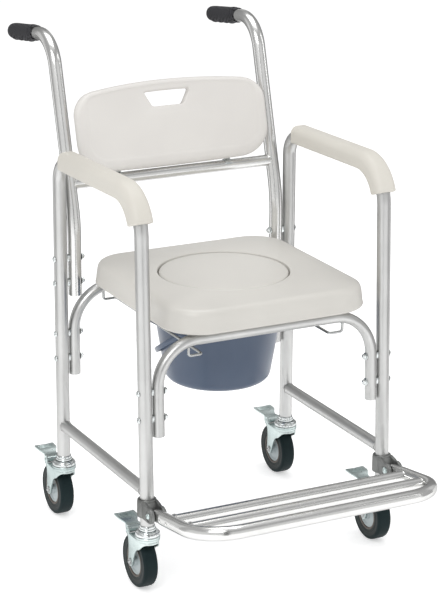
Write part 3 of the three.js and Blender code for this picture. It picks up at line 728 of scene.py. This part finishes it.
def lid():
    top = SEAT_TOP + 0.6
    profile = [(0, LEDGE + 0.3), (100, LEDGE + 0.3), (104, LEDGE + 0.5), (LID_R - 3.4, LEDGE + 0.5)]
    profile += [(LID_R - 2.2, LEDGE + 1.4), (LID_R - 1.2, LEDGE + 4), (LID_R - 0.8, top - 5)]
    profile += [(LID_R - 1.1, top - 2.6), (LID_R - 2.2, top - 0.9), (LID_R - 4.4, top - 0.1)]
    profile += [(LID_R - 8, top + 0.25), (90, top + 0.35), (60, top + 0.4), (0, top + 0.4)]
    bm = bmesh.new()
    add_lathe(bm, profile, upright(LID_X, LID_Y), 128)
    finish(bm, "lid", SEAT, "seat_lid", "seat_lid")


seat()
lid()

# ---- bucket, bail and wire rails ----
BAIL_AROUND = radians(30)
BAIL_HANG = radians(-34)
BAIL_X, BAIL_REACH, BAIL_Z = 122.6, 134, 429
BUCKET_Y = 16
WIRE_RADIUS, WIRE_Z, WIRE_TOP = 2.5, 437, 456
WIRE_OUT, WIRE_IN = 158, 131


def bucket():
    foot = [(0, 312.8), (70, 312.6), (74, 312), (84, 312), (90, 313.2), (95, 316), (98.6, 320), (101, 325.6)]
    outside = [(110.5, 381), (118.8, 434), (119.6, 438.6), (120.6, 440)]
    flange = [(137, 440), (140.6, 440.2), (142, 441.4), (141.4, 442.7), (139.6, 443), (120, 443)]
    inside = [(117.8, 442.2), (116.8, 440), (108, 381), (98.4, 327)]
    inner_floor = [(95.6, 321.4), (91, 317.4), (84, 315), (0, 315)]
    bm = bmesh.new()
    turn = Matrix.Rotation(BAIL_AROUND, 4, "Z")
    add_lathe(bm, foot + outside + flange + inside + inner_floor, upright(0, BUCKET_Y), 96)
    for sign in (-1, 1):
        start = at(0, BUCKET_Y, 0) + turn @ Vector((sign * 115 * MM, 0, BAIL_Z * MM))
        pin = [(0, 0), (3, 0), (3, 9.8), (4.4, 10), (4.4, 11), (3.4, 11.9), (0, 12.2)]
        add_lathe(bm, pin, place_mm(start, turn @ Vector((sign, 0, 0))), 20)
    finish(bm, "bucket_shell", BLUE, "bucket", "bucket")


def bail():
    """A flat strap looped round the back of the bucket, with a round eye at each end."""
    place = Matrix.Translation(at(0, BUCKET_Y, BAIL_Z)) @ Matrix.Rotation(BAIL_AROUND, 4, "Z")
    place = place @ Matrix.Rotation(BAIL_HANG, 4, "X") @ Matrix.Scale(MM, 4)
    straight = BAIL_REACH - BAIL_X
    points = [(-BAIL_X, k * straight / 3) for k in range(3)]
    half_turns = [pi * k / 48 for k in range(49)]
    points += [(-BAIL_X * cos(t), straight + BAIL_X * sin(t)) for t in half_turns]
    points += [(BAIL_X, straight - k * straight / 3) for k in range(1, 4)]
    section = mirrored([(-4.5, -1.2), (-3.6, -1.9), (3.6, -1.9), (4.5, -1.2)])
    loops = []
    for i, (x, y) in enumerate(points):
        before = points[max(i - 1, 0)]
        after = points[min(i + 1, len(points) - 1)]
        heading = Vector((after[0] - before[0], after[1] - before[1], 0)).normalized()
        side = Vector((heading.y, -heading.x, 0))
        fuller = 1 + 0.25 * smooth((y - BAIL_REACH + 34) / 22)
        loops.append([place @ (Vector((x, y, h)) + side * t * fuller) for h, t in section])
    bm = bmesh.new()
    add_loops(bm, loops)
    for sign in (-1, 1):
        start = place @ Vector((sign * BAIL_X - 2, 0, 0))
        direction = (place @ Vector((1, 0, 0)) - place @ Vector((0, 0, 0))).normalized()
        eye = [(3.3, 0), (5.2, 0), (6, 0.6), (6, 3.4), (5.2, 4), (3.3, 4)]
        add_lathe(bm, eye, place_mm(start, direction), 28)
    finish(bm, "bail_strap", BLUE, "bucket_bail", "bucket_bail")


def wire_rail(side, sign):
    out, inner = sign * WIRE_OUT, sign * WIRE_IN
    front, rear = front_leg_y(WIRE_Z), REAR_LEG_Y
    corners = [
        ((out, front, WIRE_TOP),),
        ((out, front, WIRE_Z), 5),
        ((inner, front, WIRE_Z), 6),
        ((inner, rear, WIRE_Z), 6),
        ((out, rear, WIRE_Z), 5),
        ((out, rear, WIRE_TOP),),
    ]
    stations = path_stations(corners, radians(10))
    loops = []
    normal = Vector((1, 0, 0))
    for point, tangent, _ in stations:
        normal = (normal - tangent * normal.dot(tangent)).normalized()
        across = tangent.cross(normal)
        ring = [normal * cos(t) + across * sin(t) for t in around(14)]
        loops.append([point + p * WIRE_RADIUS * MM for p in ring])
    bm = bmesh.new()
    add_loops(bm, loops)
    for y in (front, rear):
        bead = [(0, 0), (3.4, 0), (4.2, 1.0), (3.6, 2.2), (2.6, 3.4), (0, 3.6)]
        add_lathe(bm, bead, place_mm(at(out, y, WIRE_TOP + 0.3), (0, 0, -1)), 18)
    finish(bm, f"wire_{side}", WIRE, f"bucket_rail_{side}")


bucket()
bail()
for side, sign in SIDES:
    wire_rail(side, sign)


# ---- footrest ----
def foot_point(x, distance):
    """A point of the footrest, by its distance from the pivot line along the slope."""
    return (x, FOLD_Y - distance * cos(FOLD_RISE), FOLD_Z + distance * sin(FOLD_RISE))


def footrest():
    corners = [
        (foot_point(-LEG_X, FOOTREST_START),),
        (foot_point(-LEG_X, FOOTREST_REACH), FOOTREST_BEND),
        (foot_point(LEG_X, FOOTREST_REACH), FOOTREST_BEND),
        (foot_point(LEG_X, FOOTREST_START),),
    ]
    stations = path_stations(corners)
    first, last = stations[0], stations[-1]
    lengths = [0, 3, 8, 14, 20, 26, 32, 38]
    path = [(first[0] + first[1] * d * MM, first[1], 0.0) for d in lengths]
    path += stations[1:-1]
    path += [(last[0] - last[1] * d * MM, last[1], 0.0) for d in reversed(lengths)]

    def section(i, share):
        nearest = min(i, len(path) - 1 - i)
        distance = lengths[nearest] if nearest < len(lengths) else 100
        round_share = smooth((distance - 16) / 16)
        lift = 11.4 + (TUBE - 11.4) * round_share
        across = 8.1 + (TUBE - 8.1) * round_share
        power = 0.55 + 0.45 * round_share
        ring = []
        for turn in around(TUBE_SIDES):
            c, s = cos(turn), sin(turn)
            x = across * (1 - 0.08 * share) * copysign(abs(s) ** power, s)
            z = lift * (1 + 0.03 * share) * copysign(abs(c) ** power, c)
            ring.append((z, x))
        return ring

    bm = bmesh.new()
    add_loops(bm, swept_rings(path, section))
    for sign in (-1, 1):
        for distance in (40, 66):
            rivet = [(0, 1.6), (2.4, 1.4), (3.6, 0.6), (3.9, -0.5), (3.9, -2), (0, -2)]
            point = at(*foot_point(sign * (LEG_X + TUBE - 0.2), distance))
            add_lathe(bm, rivet, place_mm(point, (sign, 0, 0)), 20)
    finish(bm, "footrest_tube", BRIGHT_TUBE, "footrest_frame", "footrest")
    for number, distance in enumerate(FOOTREST_BARS, 1):
        ends = [foot_point(sign * LEG_X, distance) for sign in (-1, 1)]
        welded_tube(f"foot_bar_{number}", *ends, 7, BRIGHT_TUBE, f"footrest_bar_{number}", "footrest")


def bracket(side, x):
    """A cast collar clamped round the leg, with two ears for the footrest's arm."""
    low, high = 149, 182.5
    ear_in, ear_out = 8.8, 15.2
    leg_y = front_leg_y((low + high) / 2)
    bm = bmesh.new()
    collar = [(TUBE + 0.2, low), (TUBE + 4.6, low), (TUBE + 5.6, low + 1), (TUBE + 5.9, low + 3)]
    collar += [(TUBE + 5.2, high - 6), (TUBE + 4.6, high - 1.2), (TUBE + 3.4, high), (TUBE + 0.2, high)]
    slope = Vector((0, front_leg_y(high) - front_leg_y(low), high - low)).normalized()
    base = at(x, front_leg_y(low), low)
    add_lathe(bm, [(r, z - low) for r, z in collar], place_mm(base, slope), 48)
    web = [(leg_y - 10, low + 2), (leg_y - 10, high - 1.5), (leg_y - 18, high - 4), (leg_y - 23, high - 12)]
    web += [(leg_y - 24, low + 10), (leg_y - 21, low + 2)]
    add_plate(bm, web, facing_x(x), -10, 10, 1.0)
    for sign in (-1, 1):
        outline = [(leg_y - 4, low + 0.5), (leg_y - 2, high - 1), (leg_y - 14, high - 0.5)]
        outline += [(FOLD_Y + 12, high - 3)] + arc(FOLD_Y, FOLD_Z, 14.6, 65, 270, 16)
        outline += [(FOLD_Y + 12, low + 0.4)]
        face = ear_in if sign > 0 else -ear_out
        add_plate(bm, outline, facing_x(x), face, face + ear_out - ear_in, 1.2)
        rib = arc(FOLD_Y, FOLD_Z, 12.6, 0, 330, 22) + arc(FOLD_Y, FOLD_Z, 10.2, 330, 0, 22)
        rib_face = ear_out - 0.2 if sign > 0 else -ear_out - 1
        add_plate(bm, rib, facing_x(x), rib_face, rib_face + 1.2, 0.4)
        stud = [(0, -6), (3.4, -6), (3.4, 4.4), (2.4, 5.4), (0, 5.6)]
        add_lathe(bm, stud, place_mm(at(x + sign * 12.2, leg_y - 18.6, FOLD_Z + 12), (0, -1, 0)), 16)
    finish(bm, f"clamp_bracket_{side}", CAST, f"footrest_bracket_{side}")


def add_cap_nut(bm, point, direction, flats=5.5, dome=4.4, height=8):
    """A washer, a hexagon and a dome, standing on a face."""
    place = place_mm(point, direction)
    add_lathe(bm, [(0, -0.5), (flats + 1.6, -0.5), (flats + 1.6, 0.7), (flats + 1.2, 1), (0, 1)], place, 28)
    add_plate(bm, arc(0, 0, flats, 0, 300, 5), place, 1, height - dome * 0.7, 0.4)
    top = height - dome * 0.75
    cap = [(0, top - 1), (dome, top - 1)]
    cap += [(dome * cos(t), top - 1 + dome * 0.85 * sin(t)) for t in (0.25, 0.5, 0.8, 1.1, 1.35)]
    add_lathe(bm, cap + [(0, top - 1 + dome * 0.86)], place, 24)


def add_round_head(bm, point, direction, radius=6, height=2.9):
    place = place_mm(point, direction)
    head = [(0, -0.5), (radius, -0.5), (radius, 0.5), (radius * 0.94, 1.3), (radius * 0.74, height * 0.8)]
    head += [(radius * 0.42, height), (radius * 0.36, height)]
    head += [(radius * 0.3, height * 0.5), (0, height * 0.5)]
    add_lathe(bm, head, place, 28)


def pivot_bolt(side, x):
    bm = bmesh.new()
    add_rod(bm, 4, 17, place_mm(at(x, FOLD_Y, FOLD_Z), (1, 0, 0)), 24)
    outward = 1 if x > 0 else -1
    add_round_head(bm, at(x + outward * 15.9, FOLD_Y, FOLD_Z), (outward, 0, 0), 5.6, 3.3)
    add_cap_nut(bm, at(x - outward * 15.7, FOLD_Y, FOLD_Z), (-outward, 0, 0), 5.6, 3.6, 5.0)
    finish(bm, f"fold_bolt_{side}", ZINC, f"footrest_pivot_bolt_{side}")


footrest()
for side, sign in SIDES:
    bracket(side, sign * LEG_X)
    pivot_bolt(side, sign * LEG_X)


# ---- bolt pairs and their saddles ----
def bolt_pair(name, cad_node, sign, inner_x, inner_radius, y_at, heights):
    bm = bmesh.new()
    for z in heights:
        head = at(sign * (LEG_X + TUBE + 0.1), y_at(z), z)
        nut = at(sign * (inner_x - inner_radius - 0.1), y_at(z), z)
        add_round_head(bm, head, (sign, 0, 0))
        add_cap_nut(bm, nut, (-sign, 0, 0))
        middle = at(sign * (LEG_X - TUBE), y_at(z), z)
        add_rod(bm, 3, 6, place_mm(middle, (1, 0, 0)), 16)
    finish(bm, name, BRIGHT_ZINC, cad_node)
    bm = bmesh.new()
    face = LEG_X - TUBE
    gap_middle = (inner_x + inner_radius + face) / 2
    half = (face - inner_x - inner_radius) / 2 + 1.2
    saddle = mirrored([(-5.4, -5), (-4.6, -6), (4.6, -6), (5.4, -5)])
    for z in heights:
        add_plate(bm, saddle, facing_x(sign * gap_middle, y_at(z), z), -half, half, 0.5)
    finish(bm, f"{name}_saddles", BRIGHT_ZINC, None)


for side, sign in SIDES:
    for end, y_at in (("front", front_leg_y), ("rear", rear_leg_y)):
        node = f"hoop_bolts_{end}_{side}"
        bolt_pair(f"{end}_support_bolts_{side}", node, sign, HOOP_X, SLIM, y_at, HOOP_BOLTS)
    node = f"handle_bolts_{side}"
    bolt_pair(f"handle_tube_bolts_{side}", node, sign, HANDLE_X, TUBE, rear_leg_y, HANDLE_BOLTS)


# ---- casters ----
CHEEK_IN, CHEEK_OUT = 17.5, 20.5
CROWN_LOW, CROWN_TOP = 101.2, 104.2
PEDAL_Y, PEDAL_Z = 45, 108


def caster_stem(name, cad, x, y):
    """The stem, the leg's end collar and the upper race, which stay with the leg."""
    profile = [(0, 97.6), (7.4, 97.6), (8, 98.2), (8, 100.4), (4.4, 100.4), (4.4, 112.4), (21.8, 112.4)]
    profile += [(22.6, 113.2), (22.6, 117.4), (21.8, 118.6), (20.2, 119.2), (19.6, 120.6), (18.8, 121.4)]
    profile += [(14.2, 121.8), (13.4, 123.7), (5.6, 123.7), (5.6, 170), (0, 171)]
    bm = bmesh.new()
    add_lathe(bm, profile, upright(x, y), 48)
    collar = [(12.9, 122.6), (15.4, 122.6), (15.9, 123.4), (15.9, 126), (15.2, 126.9)]
    collar += [(14.4, 127.4), (14.2, 131), (13.6, 131.8), (12.9, 131.8)]
    add_closed_lathe(bm, collar, upright(x, y), 48)
    finish(bm, f"{name}_upper_race", BRIGHT_ZINC, cad + "_stem")


def cheek_outline():
    """A cheek as (y, z): a curved front edge, the axle's boss, and the lug that carries the pedal."""
    start, pull, end = Vector((-0.2, 85)), Vector((12.8, 81)), Vector((22.4, 50))
    shares = [k / 10 for k in range(11)]
    outline = [(-0.2, 103)]
    outline += [tuple(start * (1 - t) ** 2 + pull * (2 * t * (1 - t)) + end * t * t) for t in shares]
    outline += arc(WHEEL_TRAIL, WHEEL_R, 9.2, 190, 350, 14)
    outline += [(39.6, 62), (38.4, 76), (38.8, 88), (41, 95), (46, 99.4), (50.4, 102), (51, 108)]
    return outline + [(49.6, 112.8), (45, 115), (40, 112), (36, 103.4)]


def caster_fork(name, cad, x, y):
    bm = bmesh.new()
    for face in (-CHEEK_OUT, CHEEK_IN):
        add_plate(bm, cheek_outline(), facing_x(x, y), face, face + CHEEK_OUT - CHEEK_IN, 0.4)
    add_loops(bm, hood_loops(x, y))
    crown = arc(0, 0, 19, 180, 360, 20)
    crown = [(px, py * 1.1) for px, py in crown] + [(19, 38), (-19, 38)]
    add_plate(bm, crown, upright(x, y), CROWN_LOW, CROWN_TOP, 0.3)
    race = [(4.8, 101), (22.4, 103.4), (23, 104.2), (23, 107.2), (22.2, 107.8), (22.2, 108.4)]
    race += [(23, 109), (23, 111), (22.2, 111.9), (4.8, 112)]
    add_lathe(bm, race, upright(x, y), 56)
    pin = mirrored([(0, -22), (2.4, -22), (3.6, -21), (3.6, -20.3), (3, -20.2)])
    add_lathe(bm, pin, place_mm(at(x, y + PEDAL_Y, PEDAL_Z), (1, 0, 0)), 24)
    finish(bm, f"{name}_fork_body", ZINC, cad + "_fork", cad + "_fork")


def hood_loops(x, y):
    """The pressed hood that runs round the front of the crown from one cheek to the other."""
    loops = []
    steps = 36
    for k in range(steps + 1):
        turn = pi * (1 + k / steps)
        out = Vector((cos(turn), sin(turn) * 1.12))
        front = max(0.0, -sin(turn))
        low = 85 + 14 * smooth(front / 0.9)
        skin = [(18.6, CROWN_TOP), (19.6, 103.6), (20.3, 102.4), (CHEEK_OUT, 100.6), (CHEEK_OUT, low + 0.7)]
        skin += [(20, low), (18, low), (CHEEK_IN, low + 0.7), (CHEEK_IN, CROWN_LOW)]
        loops.append([at(x + out.x * r, y + out.y * r, z) for r, z in skin])
    return loops


def caster_pedal(name, cad, x, y):
    """The brake pedal: a boss, a stepped arm, a flared tread with ribs, and the shoe below."""
    bm = bmesh.new()
    boss = mirrored([(3.3, -17), (5.4, -17), (6, -16.4)])
    add_lathe(bm, boss, place_mm(at(x, y + PEDAL_Y, PEDAL_Z), (1, 0, 0)), 28)
    arm = [(40.5, 110.6, 15), (45, 113.8, 15), (50, 114, 14.2), (54, 111.4, 13), (60, 110.4, 12.2)]
    tread = [(67, 110.8, 12.4), (73, 112.6, 13.8), (78, 114.6, 16.6), (82, 116, 19), (87, 116.8, 20)]
    tread += [(95, 117.2, 20), (101, 117.5, 20), (104, 117.6, 19)]
    thick = 2.6
    columns = [-1, -0.86, -0.5, 0, 0.5, 0.86, 1]
    loops = []
    for py, pz, half in arm + tread:
        dish = smooth((py - 62) / 16) * 0.9
        top = [at(x + half * c, y + py, pz - dish * (1 - c * c)) for c in columns]
        low = [at(x + half * c, y + py, pz - thick - dish * (1 - c * c)) for c in reversed(columns)]
        loops.append(top + low)
    add_loops(bm, loops)
    for py, pz in ((87, 116.2), (92, 116.4), (97, 116.6)):
        rib = [(-0.9, -0.6), (0.9, -0.6), (0.9, 0.7), (0.4, 1.1), (-0.4, 1.1), (-0.9, 0.7)]
        place = facing_x(x, y + py, pz)
        add_plate(bm, rib, place, -15, 15, 0.2)
    shoe = [(47, 105), (52, 103.4), (57, 100.6), (59.4, 97.8)]
    shoe += [(64.6, 98.4), (66, 104), (66.4, 110.4), (52, 111.6)]
    add_plate(bm, shoe, facing_x(x, y), -14, 14, 0.7)
    finish(bm, f"{name}_brake_pedal", ZINC, cad + "_pedal", cad + "_pedal")


def caster_wheel(name, cad, x, y):
    place = place_mm(at(x, y + WHEEL_TRAIL, WHEEL_R), (1, 0, 0))

    def ring(part, outline, sides, material, node, slot):
        bm = bmesh.new()
        add_closed_lathe(bm, outline, place, sides)
        finish(bm, f"{name}_{part}", material, node, cad + "_wheel")

    tread = mirrored([(43, -13.6), (45.6, -13.9), (47.6, -13.3), (49, -12), (49.8, -10), (50, -7)])
    ring("tread", tread, 96, TYRE, cad + "_tyre", "tyre")
    wall = [(30.4, -12.2), (34.4, -12.7), (34.8, -13.2), (36, -13.2), (36.4, -12.9), (41, -13.4)]
    wall.append((43.2, -13.5))
    ring("sidewall", mirrored(wall, [(43.4, 0)]), 96, SIDEWALL, None, "tyre")
    bead = mirrored([(26.4, -10.4), (27, -12.2), (28.2, -13), (29.4, -13), (30.4, -12.4)])
    ring("bead", bead, 72, BEAD, None, "tyre")
    hub = [(4.3, -16), (8.4, -16), (9, -15.4), (9.8, -10), (12, -9), (19, -8.6), (22, -9)]
    hub += [(23.2, -10.2), (24, -10.6), (25.8, -10.6), (26.4, -10)]
    ring("hub_disc", mirrored(hub), 72, HUB, cad + "_hub", "wheel_hub")


def caster_axle(name, cad, x, y):
    bm = bmesh.new()
    centre_y = y + WHEEL_TRAIL
    add_rod(bm, 4, 21, place_mm(at(x, centre_y, WHEEL_R), (1, 0, 0)), 20)
    for sign in (-1, 1):
        face = at(x + sign * (CHEEK_OUT + 0.1), centre_y, WHEEL_R)
        add_cap_nut(bm, face, (sign, 0, 0), 5.2, 3.6, 4.9)
    finish(bm, f"{name}_axle_bolt", WIRE, cad + "_axle", cad + "_fork")


for end, leg_y in (("front", FRONT_FOOT_Y), ("rear", REAR_LEG_Y)):
    for side, sign in SIDES:
        cad = f"caster_{end}_{side}"
        name = f"{end}_{side}"
        for make in (caster_stem, caster_fork, caster_pedal, caster_wheel, caster_axle):
            make(name, cad, sign * LEG_X, leg_y)


# ---- floor, light and camera ----
CAMERA_AZIMUTH, CAMERA_ELEVATION, CAMERA_ROLL = -27.14, 17.68, 0.34
CAMERA_DISTANCE, CAMERA_TARGET = 4.2561, (1.8, 0, 468)
LENS, SENSOR = 135.69, 36
CARD_RADIUS, CARD_LOW, CARD_HIGH = 1.25, 0.01, 1.8


def stage_material(name, tone, specular, glow):
    """A plain grey that also gives off some light of its own."""
    material, _, _, shader = new_material(name)
    shader.inputs["Base Color"].default_value = (tone, tone, tone, 1)
    shader.inputs["Roughness"].default_value = 0.9
    shader.inputs["Specular IOR Level"].default_value = specular
    shader.inputs["Emission Color"].default_value = (1, 1, 1, 1)
    shader.inputs["Emission Strength"].default_value = glow
    return material


def floor():
    bm = bmesh.new()
    bmesh.ops.create_grid(bm, x_segments=4, y_segments=4, size=40)
    object_from(bm, "floor", stage_material("pale_floor", 0.85, 0.1, 0.46))


def area_light(name, position, target, size, power):
    data = bpy.data.lights.new(name, "AREA")
    data.shape = "RECTANGLE"
    data.size, data.size_y = size
    data.energy = power
    light = bpy.data.objects.new(name, data)
    light.location = position
    light.rotation_euler = (Vector(target) - Vector(position)).to_track_quat("-Z", "Y").to_euler()
    bpy.context.scene.collection.objects.link(light)


def studio_world():
    """White round the sides and overhead, with a grey band high up that shades the tubes."""
    studio = bpy.data.worlds.new("studio")
    bpy.context.scene.world = studio
    studio.use_nodes = True
    nodes, links = studio.node_tree.nodes, studio.node_tree.links
    coords = nodes.new("ShaderNodeTexCoord")
    split = nodes.new("ShaderNodeSeparateXYZ")
    shade = nodes.new("ShaderNodeValToRGB")
    links.new(coords.outputs["Generated"], split.inputs["Vector"])
    links.new(split.outputs["Z"], shade.inputs["Fac"])
    stops = [(0.0, 1.0), (0.4, 1.0), (0.58, 0.6), (0.78, 0.55), (0.92, 1.0)]
    elements = shade.color_ramp.elements
    while len(elements) < len(stops):
        elements.new(0.5)
    for element, (position, level) in zip(elements, stops):
        element.position = position
        element.color = (level, level, level, 1)
    links.new(shade.outputs["Color"], nodes["Background"].inputs["Color"])
    nodes["Background"].inputs["Strength"].default_value = 0.8


def reflected_card(name, middle, half_width, level):
    """A curved card round the chair that only reflections see, as a studio's dark edges are seen.
    Its middle and half width are angles in degrees, counted from the camera's azimuth."""
    bm = bmesh.new()
    columns = []
    for k in range(9):
        turn = radians(CAMERA_AZIMUTH + middle - half_width + half_width * k / 4)
        x, y = CARD_RADIUS * sin(turn), -CARD_RADIUS * cos(turn)
        columns.append([bm.verts.new((x, y, z)) for z in (CARD_LOW, CARD_HIGH)])
    for (a, b), (c, d) in zip(columns, columns[1:]):
        bm.faces.new((a, c, d, b))
    card = object_from(bm, name, stage_material(name, 0, 0, level))
    card.visible_camera = False
    card.visible_diffuse = False
    card.visible_shadow = False
    card.visible_transmission = False


def camera():
    azimuth, elevation, roll = radians(CAMERA_AZIMUTH), radians(CAMERA_ELEVATION), radians(CAMERA_ROLL)
    level = cos(elevation)
    back = Vector((sin(azimuth) * level, -cos(azimuth) * level, sin(elevation)))
    right = Vector((cos(azimuth), sin(azimuth), 0))
    up = back.cross(right)
    rolled_right = right * cos(roll) + up * sin(roll)
    rolled_up = up * cos(roll) - right * sin(roll)
    data = bpy.data.cameras.new("camera")
    data.sensor_fit = "VERTICAL"
    data.sensor_height = SENSOR
    data.lens = LENS
    data.clip_end = 200
    data.dof.use_dof = False
    view = bpy.data.objects.new("camera", data)
    turn = Matrix((rolled_right, rolled_up, back)).transposed().to_4x4()
    view.matrix_world = Matrix.Translation(at(*CAMERA_TARGET) + back * CAMERA_DISTANCE) @ turn
    bpy.context.scene.collection.objects.link(view)
    bpy.context.scene.camera = view


floor()
studio_world()
bpy.context.scene.view_settings.view_transform = "Standard"
area_light("key", (-2.4, -2.2, 3.4), (0, 0, 0.4), (1.8, 1.8), 60)
area_light("fill", (3.0, -1.8, 2.2), (0, 0, 0.5), (1.6, 2.2), 22)
area_light("top", (0.2, 0.6, 3.8), (0, 0, 0), (2.2, 2.2), 40)
reflected_card("dark_behind_camera", 5, 4, 0.1)
reflected_card("grey_at_left", -86, 16, 0.5)
reflected_card("grey_at_right", 84, 16, 0.45)
reflected_card("grey_behind_left", -148, 24, 0.4)
reflected_card("grey_behind_right", 148, 24, 0.4)
camera()
